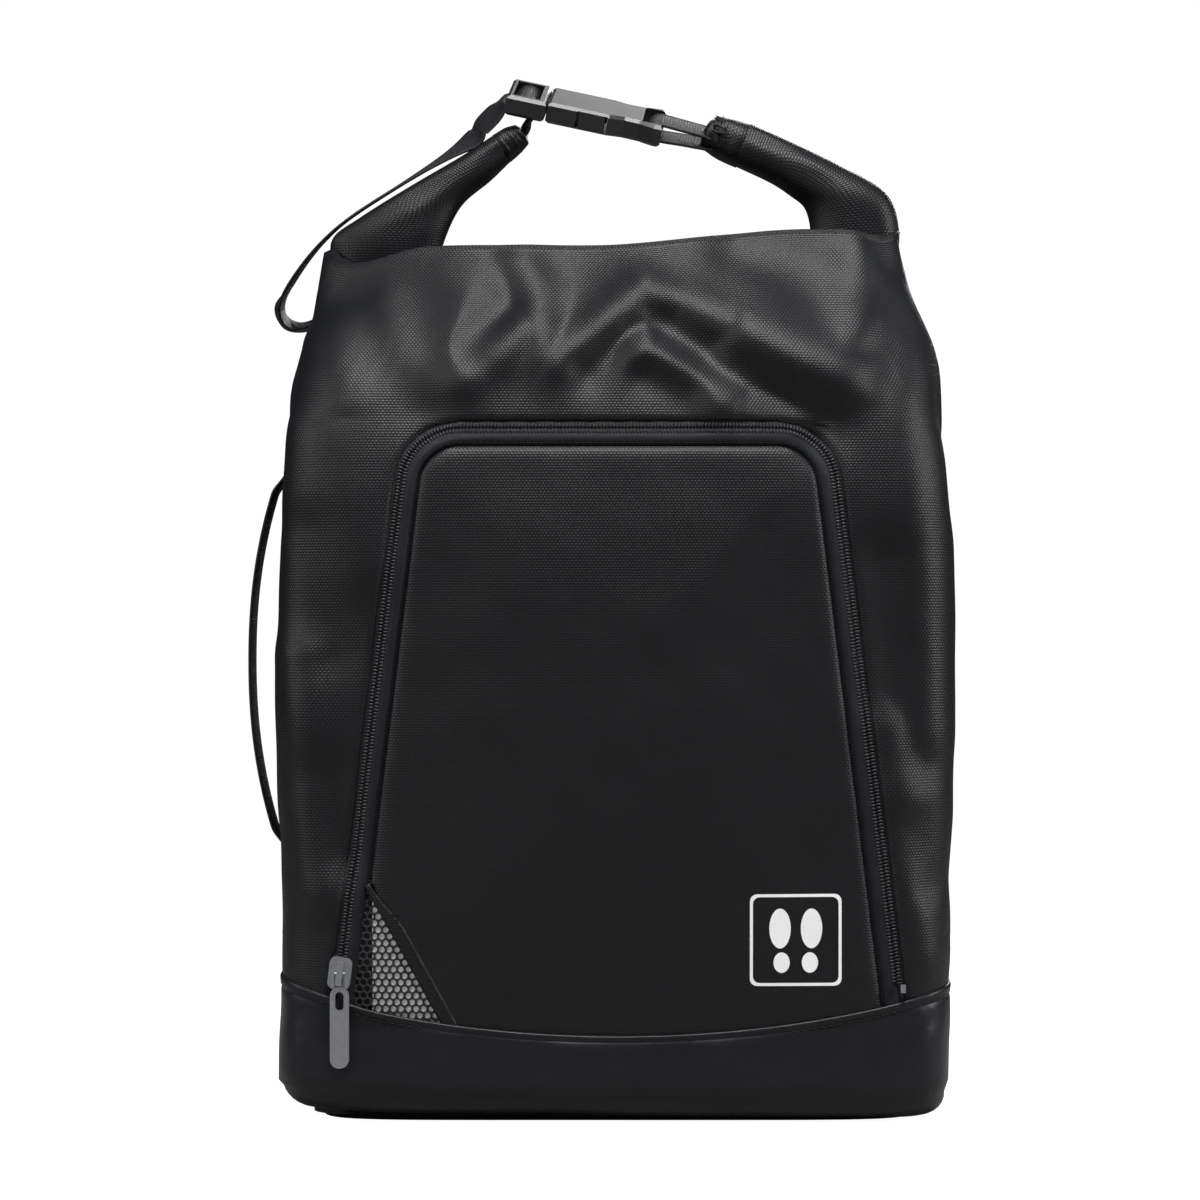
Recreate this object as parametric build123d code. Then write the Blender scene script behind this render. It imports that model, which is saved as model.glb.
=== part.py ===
"""Roll-top shoe bag: body, U-zipped shoe door, rolled mouth clipped into a carry arch, side grab handle.

Millimetres. X to the right, front face towards -Y, Z up. The origin is the centre of the base on the floor.
"""
from build123d import *
from math import cos, sin, radians
import os

os.makedirs("parts", exist_ok=True)

# ---------------------------------------------------------------- driving dimensions
WALL = 2.0                    # fabric with its foam and lining
CLEAR = 0.3                   # gap between pieces that move past each other

BODY_HALF_WIDTH = 132.5
BODY_HALF_DEPTH = 62.0
BODY_CORNER = 20.0
SHOULDER_Z = 275.0            # the front and back start to lean in here
RIDGE_Z = 341.0               # top edge of the leaning panels
RIDGE_HALF_WIDTH = 115.0
RIDGE_HALF_DEPTH = 25.0

SEAM_MIDDLE_Z = 34.0          # top of the coated base band at the middle; it curves up to the sides
SEAM_RADIUS = 470.0

DOOR_SILL_Z = 50.0            # the door folds down about this line
DOOR_TOP_Z = 268.5
DOOR_HALF_SILL = 110.0
DOOR_HALF_TOP = 83.0
DOOR_CORNER = 25.0
TAPE_THICK = 0.8
COIL_THICK = 1.6
CHAIN_INSET = 3.0             # zipper centre line, inside the cut edge of the fabric
TAPE_GAP = 0.6                # each tape stops this far short of the centre line
COIL_HALF = 2.5
STOP_HEIGHT = 4.0
PANEL_INSET = 10.5            # edge of the door's fabric panel
TAPE_HIDDEN = 2.3             # tape sewn behind the fabric

SLIDER_Z = 58.0
PULL_LENGTH = 36.0
PULL_WIDTH = 7.2
PULL_THICK = 1.2
PIN_HEIGHT = 2.9              # cross pin of the pull, in front of the zipper's face

ROLL_Z = 330.0                # axis of the rolled mouth, about which the carry arch tips
ROLL_RADIUS = 11.0
ROLL_HALF_LENGTH = 110.0
WEBBING = 20.0
WEBBING_THICK = 1.2

BUCKLE_CENTRE = (-12.6, 0, 395)
BUCKLE_SLOPE = 12.0           # the buckle runs down to the right
BUCKLE_ROLL = 24.0            # its top face leans to the front
BUCKLE_HALF_LENGTH = 31.5
BUCKLE_HALF_WIDTH = 12.5
BUCKLE_HALF_THICK = 4.3
BUCKLE_BEVEL = 1.2
LOCK_END = -15.5              # ladder lock to the left of here, housing to the right

GRAB_BOTTOM_Z = 104.0
GRAB_TOP_Z = 248.0
GRAB_BOW = 15.0
GRAB_WIDTH = 22.0

FRONT = -BODY_HALF_DEPTH
PANEL_BACK = FRONT + WALL
CHAIN_HALF_SILL = DOOR_HALF_SILL - CHAIN_INSET
LEG_LEAN = (DOOR_HALF_SILL - DOOR_HALF_TOP) / (DOOR_TOP_Z - DOOR_SILL_Z)
LEG_AXIS = Vector(LEG_LEAN, 0, 1).normalized()


# ---------------------------------------------------------------- shared shapes
# height, half width, half depth and corner radius of each level of the bag
LEVELS = [
    (0, 123.0, 53.0, 14.0),
    (8, 129.5, 59.5, 18.0),
    (24, BODY_HALF_WIDTH, BODY_HALF_DEPTH, BODY_CORNER),
    (240, BODY_HALF_WIDTH, BODY_HALF_DEPTH, BODY_CORNER),
    (SHOULDER_Z, 128.5, BODY_HALF_DEPTH, BODY_CORNER),
    (RIDGE_Z, RIDGE_HALF_WIDTH, RIDGE_HALF_DEPTH, 10.0),
]


def body_solid(inset):
    """The bag's outer form, drawn in by inset all round."""
    faces = []
    for height, half_width, half_depth, corner in LEVELS:
        outline = RectangleRounded(2 * (half_width - inset), 2 * (half_depth - inset), corner - inset / 2)
        faces.append(Pos(0, 0, height) * outline)
    return loft(faces, ruled=True)


def front_slab(sketch, y_low, y_high):
    """A sketch drawn in X and Z, made solid between two depths."""
    return extrude(Plane.XZ.offset(-y_high) * sketch, y_high - y_low)


def block(x_span, y_span, z_span):
    """A box from three (low, high) spans."""
    spans = (x_span, y_span, z_span)
    sizes = [high - low for low, high in spans]
    centre = [(high + low) / 2 for low, high in spans]
    return Pos(*centre) * Box(*sizes)


def door_outline(inset, sill=DOOR_SILL_Z):
    """The door's inverted U, drawn in by inset, closed along the sill."""
    lean = LEG_LEAN * (sill - DOOR_SILL_Z)
    half_sill = DOOR_HALF_SILL - lean - inset
    half_top = DOOR_HALF_TOP - inset
    top = DOOR_TOP_Z - inset
    arch = FilletPolyline((-half_sill, sill), (-half_top, top), (half_top, top), (half_sill, sill),
                          radius=DOOR_CORNER - inset)
    return make_face(arch.edges() + [Line((half_sill, sill), (-half_sill, sill)).edge()])


def strip(points, width, thickness, across=(0, 1, 0)):
    """Webbing of a given width that follows points; across is the direction of its width."""
    path = [Vector(*point) for point in points]
    faces = []
    for index, point in enumerate(path):
        before = path[max(index - 1, 0)]
        after = path[min(index + 1, len(path) - 1)]
        tangent = (after - before).normalized()
        side = Vector(*across)
        side = (side - tangent * side.dot(tangent)).normalized()
        faces.append(Plane(point, x_dir=side, z_dir=tangent) * Rectangle(width, thickness))
    return loft(faces, ruled=True)


def seam_prism(depth_low, depth_high):
    """Everything under the curved seam of the base band, between two depths."""
    half = BODY_HALF_WIDTH + 10
    end_z = SEAM_MIDDLE_Z + SEAM_RADIUS - (SEAM_RADIUS ** 2 - half ** 2) ** 0.5
    arc = ThreePointArc((-half, end_z), (0, SEAM_MIDDLE_Z), (half, end_z))
    rest = Polyline((half, end_z), (half, -1), (-half, -1), (-half, end_z))
    return front_slab(make_face([arc.edge()] + rest.edges()), depth_low, depth_high)


def side_wedge(sign):
    """The part of the shell that is side panel, in the space between the leaning front and back."""
    low, high = 36, 9
    outline = Polyline((-low, -1), (-low, SHOULDER_Z), (-high, RIDGE_Z + 1), (high, RIDGE_Z + 1),
                       (low, SHOULDER_Z), (low, -1), close=True)
    wedge = extrude(Plane.YZ.offset(80) * make_face(outline), 80)
    return wedge if sign > 0 else mirror(wedge, about=Plane.YZ)


# ---------------------------------------------------------------- body of the bag
def body_pieces():
    """Panels, coated base band and base."""
    inner = body_solid(WALL)
    shell = body_solid(0) - inner
    under_seam = seam_prism(-100, 100)
    fabric = shell - under_seam
    door_hole = front_slab(door_outline(0), FRONT - 5, FRONT + 10)
    sill_strip = Pos(0, DOOR_SILL_Z - 10) * Rectangle(2 * DOOR_HALF_SILL, 20)
    strip_hole = front_slab(sill_strip, FRONT - 5, FRONT + 10)
    sides = {"side_panel_left": side_wedge(-1), "side_panel_right": side_wedge(1)}
    middle = fabric
    pieces = {}
    for name, wedge in sides.items():
        pieces[name] = fabric & wedge
        middle = middle - wedge
    front_half = block((-200, 200), (-200, 0), (-5, 400))
    pieces["front_panel"] = (middle & front_half) - door_hole - strip_hole
    pieces["back_panel"] = middle - front_half
    pieces["door_sill_strip"] = middle & strip_hole
    pieces["base_band"] = shell & under_seam
    pieces["base_panel"] = inner & block((-200, 200), (-200, 200), (0, WALL))
    board = RectangleRounded(2 * 118, 2 * 48, 12)
    pieces["base_board"] = extrude(Pos(0, 0, WALL) * board, 2.5)
    return pieces


def neck_panel():
    """Mouth fabric that drops from the two ridges into a trough and carries the roll."""
    half_length = ROLL_HALF_LENGTH + 3
    rim = RIDGE_HALF_DEPTH - WALL - 1.6
    floor_half = ROLL_RADIUS + 2
    floor_z = ROLL_Z - ROLL_RADIUS - CLEAR
    thick = 1.6
    outside = [(-rim, RIDGE_Z), (-floor_half, floor_z - thick), (floor_half, floor_z - thick), (rim, RIDGE_Z)]
    inside = [(rim - thick, RIDGE_Z), (floor_half - thick, floor_z), (thick - floor_half, floor_z),
              (thick - rim, RIDGE_Z)]
    outline = make_face(Polyline(*outside, *inside, close=True))
    return extrude(Plane.YZ.offset(-half_length) * outline, 2 * half_length) & body_solid(WALL + CLEAR)


def pocket_lining():
    """Divider behind the shoes and the ceiling over them, in one bent sheet."""
    thick = 1.5
    half = BODY_HALF_WIDTH - WALL - 1.5
    ceiling_z = DOOR_TOP_Z + 4
    wall = block((-half + 4, half - 4), (4, 4 + thick), (6, ceiling_z))
    ceiling = block((-half + 4, half - 4), (PANEL_BACK + 1, 4 + thick), (ceiling_z, ceiling_z + thick))
    return (wall + ceiling) & body_solid(WALL + CLEAR)


# ---------------------------------------------------------------- door
def chain_bands(tape_bottom):
    """Tape and coil, for the half sewn to the bag and the half sewn to the door."""
    tape_y = (PANEL_BACK, PANEL_BACK + TAPE_THICK)
    coil_y = (PANEL_BACK - COIL_THICK, PANEL_BACK)

    def band(outer, inner, span):
        return front_slab(door_outline(outer, tape_bottom) - door_outline(inner, tape_bottom), *span)

    bay = block((-DOOR_HALF_SILL - 5, 0), (-80, -50), (0, SLIDER_Z + 14))
    foot = block((0, DOOR_HALF_SILL + 5), (-80, -50), (0, DOOR_SILL_Z + STOP_HEIGHT))
    return {
        "zip_tape_body": band(-TAPE_HIDDEN, CHAIN_INSET - TAPE_GAP, tape_y),
        "zip_coil_body": band(CHAIN_INSET - COIL_HALF, CHAIN_INSET - CLEAR / 2, coil_y) - bay - foot,
        "zip_tape_door": band(CHAIN_INSET + TAPE_GAP, PANEL_INSET + TAPE_HIDDEN, tape_y) - bay,
        "zip_coil_door": band(CHAIN_INSET + CLEAR / 2, CHAIN_INSET + COIL_HALF, coil_y) - bay - foot,
    }


def vent_corner(grow):
    """The triangle of the mesh vent at the door's lower left, in X and Z; grow widens its long edge."""
    left = -DOOR_HALF_SILL
    foot = DOOR_SILL_Z - 20
    reach_x = 47 + grow
    reach_z = 85 + grow * 1.8
    return make_face(Polyline((left, foot), (left + reach_x, foot), (left, foot + reach_z), close=True))


def door_pieces():
    """Fabric panel, mesh vent with its binding, and the printed badge."""
    sill = DOOR_SILL_Z + CLEAR
    panel = front_slab(door_outline(PANEL_INSET, sill), FRONT, PANEL_BACK)
    vent = front_slab(vent_corner(0), FRONT, PANEL_BACK)
    bound = front_slab(vent_corner(6.5), FRONT, PANEL_BACK)
    badge_frame = RectangleRounded(35, 35, 2.5) - RectangleRounded(32.6, 32.6, 1.6)
    shoe = Pos(-6, 0) * SlotOverall(25, 9, rotation=90) + Pos(6, 0) * SlotOverall(25, 9, rotation=90)
    badge = front_slab(Pos(67.5, 70.5) * (badge_frame + shoe), FRONT - 0.2, FRONT)
    mesh_y = block((-200, 200), (FRONT + 0.6, PANEL_BACK - 0.4), (0, 400))
    return {
        "door_panel": panel - bound,
        "mesh_vent": panel & vent & mesh_y,
        "vent_binding": (panel & bound) - vent,
        "badge_print": badge,
    }


def zip_stop():
    """Stop at the foot of the right leg, clamped on the body's tape."""
    low = DOOR_SILL_Z + CLEAR
    return block((CHAIN_HALF_SILL + TAPE_GAP, CHAIN_HALF_SILL + 2.5), (PANEL_BACK - 2.2, PANEL_BACK),
                 (low, low + STOP_HEIGHT - 1))


# ---------------------------------------------------------------- zipper slider
def slider_plane():
    """Centre of the slider on the left leg; local X across the zipper, Y up the leg, Z to the front."""
    x_centre = -CHAIN_HALF_SILL + LEG_LEAN * (SLIDER_Z - DOOR_SILL_Z)
    up = LEG_AXIS
    front = Vector(0, -1, 0)
    return Plane((x_centre, FRONT, SLIDER_Z), x_dir=up.cross(front), z_dir=front)


def slider_body():
    """Two plates joined by the divider post, with the bridge that holds the pull."""
    plate = RectangleRounded(8.6, 12, 2.4)
    top_plate = extrude(Pos(0, 0, 0.4) * plate, 1.5)
    low_plate = extrude(Pos(0, 0, -4.4) * plate, 1.3)
    post = Pos(0, 3.5, -1.4) * Box(0.6, 3, 4.4)
    bridge = Pos(0, 0, 3.4) * Box(2.4, 9, 3.4) - Pos(0, 0, 2.8) * Box(3, 6, 1.8)
    return slider_plane() * (top_plate + low_plate + post + bridge)


def pull_tab():
    """Long rounded blade with an oval hole by its top, on a cross pin under the bridge."""
    blade_top = -5
    blade_length = PULL_LENGTH + blade_top
    outline = Pos(0, blade_top - blade_length / 2) * RectangleRounded(PULL_WIDTH, blade_length, 3.4)
    hole = Pos(0, blade_top - 5.5) * SlotOverall(7, 3.2, rotation=90)
    blade = extrude(Pos(0, 0, PIN_HEIGHT - PULL_THICK / 2) * (outline - hole), PULL_THICK)
    arms = [Pos(side * 2.6, blade_top / 2, PIN_HEIGHT) * Box(PULL_THICK, -blade_top + 1.2, PULL_THICK)
            for side in (-1, 1)]
    pin = Pos(0, 0, PIN_HEIGHT) * Rot(0, 90, 0) * Cylinder(0.5, 5.2)
    upright = slider_plane()
    hanging = Plane(upright.origin, x_dir=(1, 0, 0), z_dir=(0, -1, 0))
    return hanging * (blade + arms[0] + arms[1] + pin)


# ---------------------------------------------------------------- carry arch
RIM_TURNS = [radians(22.5 * step) for step in range(16)]


def tube_run(sections):
    """Lofted run of ellipses; each section is its outer X and Z, its inner X and Z, and its half depth."""
    faces = []
    for outer_x, outer_z, inner_x, inner_z, half_depth in sections:
        outer = Vector(outer_x, 0, outer_z)
        inner = Vector(inner_x, 0, inner_z)
        across = inner - outer
        rim = [(cos(turn) * across.length / 2, sin(turn) * half_depth) for turn in RIM_TURNS]
        plane = Plane((outer + inner) / 2, x_dir=across, z_dir=across.cross(Vector(0, 1, 0)))
        faces.append(plane * make_face(Polyline(*rim, close=True)))
    return loft(faces, ruled=True)


# outer X and Z, inner X and Z, and half depth of each section, from the shoulder up to the webbing
LEFT_ARM = [(-111, 331, -73, 331, 9.5), (-112.5, 344, -69.5, 343, 11), (-103, 355, -65.5, 353, 11),
            (-82.5, 369, -60.5, 360, 10.5), (-62, 380.3, -51, 367.7, 9.5), (-50, 386.6, -42.8, 375.6, 8.5)]
LEFT_CUFF = [(-50.4, 387.2, -42.4, 375, 9.1), (-42, 390.4, -35.6, 382.6, 8.4)]
RIGHT_ARM = [(111, 331, 76, 331, 9.5), (112, 346, 77.8, 346, 11), (107, 362, 75.5, 356.5, 11),
             (88, 373.5, 69.3, 361.8, 10.5), (68, 382.4, 61, 367, 9.5), (53, 388.6, 47, 373.4, 8.5)]
RIGHT_CUFF = [(53.2, 389.2, 46.8, 372.8, 9.0), (39.6, 391.6, 35.2, 379.6, 8.4)]


def roll_solid(radius, half_length):
    """A rod along the axis of the rolled mouth."""
    return Pos(0, 0, ROLL_Z) * Rot(0, 90, 0) * Cylinder(radius, 2 * half_length)


def arch_pieces():
    """Rolled mouth, its stiffener, the two rolled arms and their sewn cuffs."""
    roll = roll_solid(ROLL_RADIUS, ROLL_HALF_LENGTH)
    stiffener = Pos(0, 0, ROLL_Z) * Box(2 * ROLL_HALF_LENGTH - 8, 1.6, 15)
    arm_left = tube_run(LEFT_ARM) - roll
    arm_right = tube_run(RIGHT_ARM) - roll
    return {
        "rolled_mouth": roll - stiffener,
        "lip_stiffener": stiffener,
        "arm_left": arm_left,
        "arm_right": arm_right,
        "cuff_left": tube_run(LEFT_CUFF) - arm_left,
        "cuff_right": tube_run(RIGHT_CUFF) - arm_right,
    }


def buckle_plane():
    """Buckle frame: local X runs down to the right, Y across its width, Z out of its top face."""
    slope = radians(BUCKLE_SLOPE)
    roll = radians(BUCKLE_ROLL)
    along = Vector(cos(slope), 0, -sin(slope))
    level_top = Vector(sin(slope), 0, cos(slope))
    top = level_top * cos(roll) + Vector(0, -1, 0) * sin(roll)
    return Plane(BUCKLE_CENTRE, x_dir=along, z_dir=top)


def cuff_tip(share):
    """A point just off the tip of the right cuff, a share of the way from its outer to its inner edge."""
    outer_x, outer_z, inner_x, inner_z, _ = RIGHT_CUFF[-1]
    gap = WEBBING_THICK
    return (outer_x + (inner_x - outer_x) * share - gap, 0, outer_z + (inner_z - outer_z) * share)


def on_buckle(x_along, height):
    """A point on the buckle's middle line, in the bag's frame."""
    return buckle_plane().from_local_coords((x_along, 0, height))


def buckle_housing():
    """Female half: hollow for the guide and prongs, side windows, flared end with a webbing bar."""
    start = LOCK_END + 0.5
    end = BUCKLE_HALF_LENGTH
    outline = [(start, BUCKLE_HALF_WIDTH), (10, BUCKLE_HALF_WIDTH), (16, 10.8), (22, 11.2), (28, 13.5),
               (end, 13.5)]
    lower = [(x, -y) for x, y in reversed(outline)]
    shape = extrude(Pos(0, 0, -BUCKLE_HALF_THICK) * make_face(Polyline(*outline, *lower, close=True)),
                    2 * BUCKLE_HALF_THICK)
    shape = chamfer(shape.edges().group_by(Axis.Z)[-1] + shape.edges().group_by(Axis.Z)[0], BUCKLE_BEVEL)
    cavity = block((start - 1, 16), (-10.2, 10.2), (-3.1, 3.1))
    windows = block((-3, 9.5), (-20, 20), (-3.3, 3.3))
    slot = block((23, 27.5), (-10.6, 10.6), (-10, 10))
    bar_relief = block((27, end + 1), (-10.6, 10.6), (2, 10)) + block((27, end + 1), (-10.6, 10.6), (-10, -2))
    return buckle_plane() * (shape - cavity - windows - slot - bar_relief)


def lock_frame():
    """Male half: ladder lock with two slots, and the centre guide that enters the housing."""
    end = -BUCKLE_HALF_LENGTH
    frame = block((end, LOCK_END), (-13.5, 13.5), (-4.1, 4.1))
    frame = chamfer(frame.edges().group_by(Axis.Z)[-1] + frame.edges().group_by(Axis.Z)[0], BUCKLE_BEVEL)
    slots = block((end + 2.2, end + 6.2), (-10.6, 10.6), (-10, 10))
    slots += block((end + 9, end + 13), (-10.6, 10.6), (-10, 10))
    relief = block((end + 5, end + 10.2), (-10.6, 10.6), (2.2, 10))
    guide = block((LOCK_END - 0.5, 9), (-2.8, 2.8), (-1.9, 1.9))
    return buckle_plane() * (frame - slots - relief + guide)


def prong(side):
    """Spring arm inside the housing with the button that shows in the side window."""
    arm = block((LOCK_END + CLEAR, 8), (6.4, 8.8), (-2.6, 2.6))
    button = block((-1.8, 8.4), (8.8, 13.2), (-2.9, 2.9))
    shape = arm + button
    if side < 0:
        shape = mirror(shape, about=Plane.XZ)
    return buckle_plane() * shape


def webbing_pieces():
    """Webbing through the lock, its sewn left end, the long tail, and the right loop with its bar tack."""
    lock_x = -BUCKLE_HALF_LENGTH
    across = buckle_plane().y_dir
    over_bar = [(12.2, -4.6), (11.4, 0), (9.8, 3.6), (5.4, 3.6), (3.8, 0), (3.2, -4.6)]
    lock_run = [on_buckle(lock_x + step, height) for step, height in over_bar]
    left_run = [on_buckle(lock_x + 11.6, -6.6), on_buckle(lock_x + 9.6, -11), (-38, 2, 388.4)]
    tail_run = [(-49.5, 4, 394), (-56.5, 4, 389.4), (-71.5, 4, 380.6), (-95, 6, 366.4), (-115, 10, 350.5),
                (-128, 16, 337.5), (-135, 22, 325), (-136, 28, 317), (-131, 36, 313.5), (-124, 43, 315),
                (-117, 49, 320)]
    bar_x = 29.5
    around_bar = [(4, 3.2), (0, 3.5), (-3.4, 3.2), (-4.4, 0), (-3.4, -3.2), (0, -3.5), (4, -3.2)]
    bend = [on_buckle(bar_x + step, height) for step, height in around_bar]
    loop = [cuff_tip(0.25)] + bend + [cuff_tip(0.75)]
    return {
        "lock_webbing": strip(lock_run, WEBBING, WEBBING_THICK, across),
        "strap_left": strip(left_run, WEBBING - 4, WEBBING_THICK, across) - tube_run(LEFT_CUFF),
        "strap_tail": strip(tail_run, WEBBING, WEBBING_THICK),
        "strap_right": strip(loop, WEBBING - 4, WEBBING_THICK, across) - tube_run(RIGHT_CUFF),
        "bartack_right": Pos(38.8, 0, 393.4) * Rot(0, 22, 0) * Box(4, 13, 0.9),
    }


# ---------------------------------------------------------------- side grab handle
def grab_bow(z_point):
    """How far the webbing handle stands off the side at a height."""
    middle = (GRAB_TOP_Z + GRAB_BOTTOM_Z) / 2
    half = (GRAB_TOP_Z - GRAB_BOTTOM_Z) / 2 - 14
    share = min(abs(z_point - middle) / half, 1)
    return GRAB_BOW * (1 - share ** 3)


def grab_pieces():
    """Moving bow of the handle, and the two ends sewn to the side panel."""
    surface = -BODY_HALF_WIDTH - WEBBING_THICK / 2
    split = 126.0
    mirror_z = GRAB_TOP_Z + GRAB_BOTTOM_Z
    bow_heights = [split, 134, 146, 160, mirror_z / 2, mirror_z - 160, mirror_z - 146, mirror_z - 134,
                   mirror_z - split]
    bow = [(surface - grab_bow(height), 0, height) for height in bow_heights]
    heights = (GRAB_BOTTOM_Z, 112, 118.5, split - 5 * CLEAR)
    end = [(surface - grab_bow(height), 0, height) for height in heights]
    top_end = [(x, y, mirror_z - z) for x, y, z in end]
    return {
        "grab_handle": strip(bow, GRAB_WIDTH, WEBBING_THICK),
        "grab_end_lower": strip(end, GRAB_WIDTH, WEBBING_THICK),
        "grab_end_upper": strip(top_end, GRAB_WIDTH, WEBBING_THICK),
    }


# ---------------------------------------------------------------- write every piece
pieces = body_pieces()
pieces["neck_panel"] = neck_panel()
pieces["pocket_lining"] = pocket_lining()
pieces.update(chain_bands(DOOR_SILL_Z + CLEAR))
pieces.update(door_pieces())
pieces["zip_stop"] = zip_stop()
pieces["slider_body"] = slider_body()
pieces["pull_tab"] = pull_tab()
pieces.update(arch_pieces())
pieces["buckle_housing"] = buckle_housing()
pieces["lock_frame"] = lock_frame()
pieces["prong_front"] = prong(-1)
pieces["prong_back"] = prong(1)
pieces.update(webbing_pieces())
pieces.update(grab_pieces())
for name, piece in pieces.items():
    export_step(piece, f"parts/{name}.step")
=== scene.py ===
"""Roll-top shoe bag: cloth, coated base, zipper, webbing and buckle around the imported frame. Millimetres."""
from math import atan2, cos, hypot, pi, radians, sin, sqrt, tan

import bmesh
import bpy
import numpy as np
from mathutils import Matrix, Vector


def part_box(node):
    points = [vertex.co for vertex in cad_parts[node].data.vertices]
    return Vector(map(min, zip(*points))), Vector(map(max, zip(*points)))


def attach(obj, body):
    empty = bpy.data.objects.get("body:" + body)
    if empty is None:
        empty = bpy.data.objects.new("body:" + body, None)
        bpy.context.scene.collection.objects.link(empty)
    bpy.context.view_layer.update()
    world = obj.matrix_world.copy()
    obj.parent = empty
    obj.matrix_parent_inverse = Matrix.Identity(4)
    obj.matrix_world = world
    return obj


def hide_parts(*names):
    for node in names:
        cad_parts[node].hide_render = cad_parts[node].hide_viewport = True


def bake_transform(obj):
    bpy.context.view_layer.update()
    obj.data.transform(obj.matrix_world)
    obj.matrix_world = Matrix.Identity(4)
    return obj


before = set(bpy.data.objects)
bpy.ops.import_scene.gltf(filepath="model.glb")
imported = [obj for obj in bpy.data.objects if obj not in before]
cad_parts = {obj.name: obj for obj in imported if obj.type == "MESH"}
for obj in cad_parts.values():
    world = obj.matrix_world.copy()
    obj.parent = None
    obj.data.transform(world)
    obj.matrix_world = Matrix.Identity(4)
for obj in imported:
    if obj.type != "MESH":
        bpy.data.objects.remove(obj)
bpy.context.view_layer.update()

MM = 0.001


def box_mm(node):
    """Lowest and highest corner of a CAD node, in millimetres."""
    low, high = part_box(node)
    return Vector(low) / MM, Vector(high) / MM


# -------- driving dimensions
HALF_WIDTH = box_mm("back_panel")[1].x
RIDGE_Z = box_mm("front_panel")[1].z
ROLL_Z = sum(corner.z for corner in box_mm("rolled_mouth")) / 2
SLIDER_Z = sum(corner.z for corner in box_mm("slider_body")) / 2
STOP_TOP_Z = box_mm("zip_stop")[1].z
BASE_ROUND = 9.0              # rounding of the bag's bottom edge

SEAM_MIDDLE_Z = 34.0          # top of the coated band at the middle; it curves up to the sides
SEAM_RADIUS = 470.0
SEAM_LEVEL = 40.0             # level whose outline the top of the coated band follows

DOOR_SILL_Z = 50.0
DOOR_TOP_Z = 268.5
DOOR_HALF_SILL = 110.0
DOOR_HALF_TOP = 83.0
DOOR_CORNER = 25.0
DOOR_LEAN = (DOOR_HALF_SILL - DOOR_HALF_TOP) / (DOOR_TOP_Z - DOOR_SILL_Z)
CHAIN_INSET = 3.0             # zipper centre line inside the cut edge of the fabric
CHAIN_PITCH = 1.3
PANEL_INSET = 9.8             # edge of the door's cloth, and the groove of stitches beside it
GROOVE_INSET = 8.5
BADGE_X, BADGE_Z, BADGE_HALF = 67.5, 70.6, 17.5

CLOTH = 1.4                   # thickness of the panels
WEBBING = 20.0
WEBBING_THICK = 1.3
RIB_PITCH, RIB_HEIGHT = 1.15, 0.17       # cross ribs of the webbing
EYE = (-7, -1300, 200)        # where the camera stands; the long tail shows its thin edge from here


# -------- small numeric helpers
def smooth(low, high, value):
    """Smooth step from 0 at low to 1 at high."""
    share = np.clip((value - low) / (high - low), 0, 1)
    return share * share * (3 - 2 * share)


HEIGHTS = np.arange(-20.0, 381.0, 1.0)


def profile(knots):
    """A smooth function of height that passes near its (height, value) knots."""
    at, values = zip(*knots)
    soft = 5.0
    reach = int(3 * soft)
    bell = np.exp(-0.5 * (np.arange(-reach, reach + 1) / soft) ** 2)
    table = np.pad(np.interp(HEIGHTS, at, values), reach, mode="edge")
    table = np.convolve(table, bell / bell.sum(), mode="valid")
    return lambda z: np.interp(z, HEIGHTS, table)


def through(points, count):
    """count points on a smooth curve through the given points (Catmull-Rom)."""
    path = np.array(points, float)
    path = np.vstack([2 * path[0] - path[1], path, 2 * path[-1] - path[-2]])
    steps = np.linspace(0, len(points) - 1 - 1e-9, count)
    start = steps.astype(int)
    t = (steps - start)[:, None]
    a, b, c, d = (path[start + k] for k in range(4))
    square, cube = 2 * a - 5 * b + 4 * c - d, 3 * b - a - 3 * c + d
    return 0.5 * (2 * b + (c - a) * t + square * t ** 2 + cube * t ** 3)


def lengths(points):
    """Distance along a line of points, at each point."""
    return np.concatenate([[0], np.cumsum(np.linalg.norm(np.diff(points, axis=0), axis=1))])


def evenly(points, spacing):
    """The same line resampled at even distances, with its lengths along."""
    points = np.array(points, float)
    along = lengths(points)
    count = max(int(round(along[-1] / spacing)), 2) + 1
    at = np.linspace(0, along[-1], count)
    return np.stack([np.interp(at, along, column) for column in points.T], 1), at


def unit(vectors):
    """Vectors along the last axis, made one long."""
    return vectors / np.maximum(np.linalg.norm(vectors, axis=-1, keepdims=True), 1e-9)


def waves(x, y, z, scale, seed):
    """A gentle, repeatable random field between about -1 and 1."""
    source = np.random.RandomState(seed)
    total = 0
    for _ in range(6):
        direction = source.normal(size=3)
        direction *= 2 * pi / (scale * np.linalg.norm(direction) * source.uniform(0.7, 1.6))
        phase = direction[0] * x + direction[1] * y + direction[2] * z
        total = total + np.sin(phase + source.uniform(0, 2 * pi))
    return total / 3.2


# -------- form of the bag
half_width = profile([(24, 128.8), (50, 129.8), (160, 131.0), (230, 130.4), (262, 128.8),
                      (280, 126), (298, 122.9), (316, 119.7), (335, 116.4), (346, 114.5)])
half_depth = profile([(24, 61.4), (50, 62), (240, 62), (262, 60.8), (276, 59), (292, 55),
                      (306, 49.5), (320, 41.5), (332, 33), (342, 25.5), (350, 20)])
squareness = profile([(24, 7), (240, 7), (275, 5.6), (300, 4.3), (325, 3.3), (345, 2.7)])


def section(z):
    """Half width, half depth and squareness of the bag's outline at a height."""
    below = np.clip(BASE_ROUND - z, 0, BASE_ROUND)
    inset = BASE_ROUND - np.sqrt(BASE_ROUND ** 2 - below ** 2)
    return half_width(z) - inset, half_depth(z) - inset, squareness(z)


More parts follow.
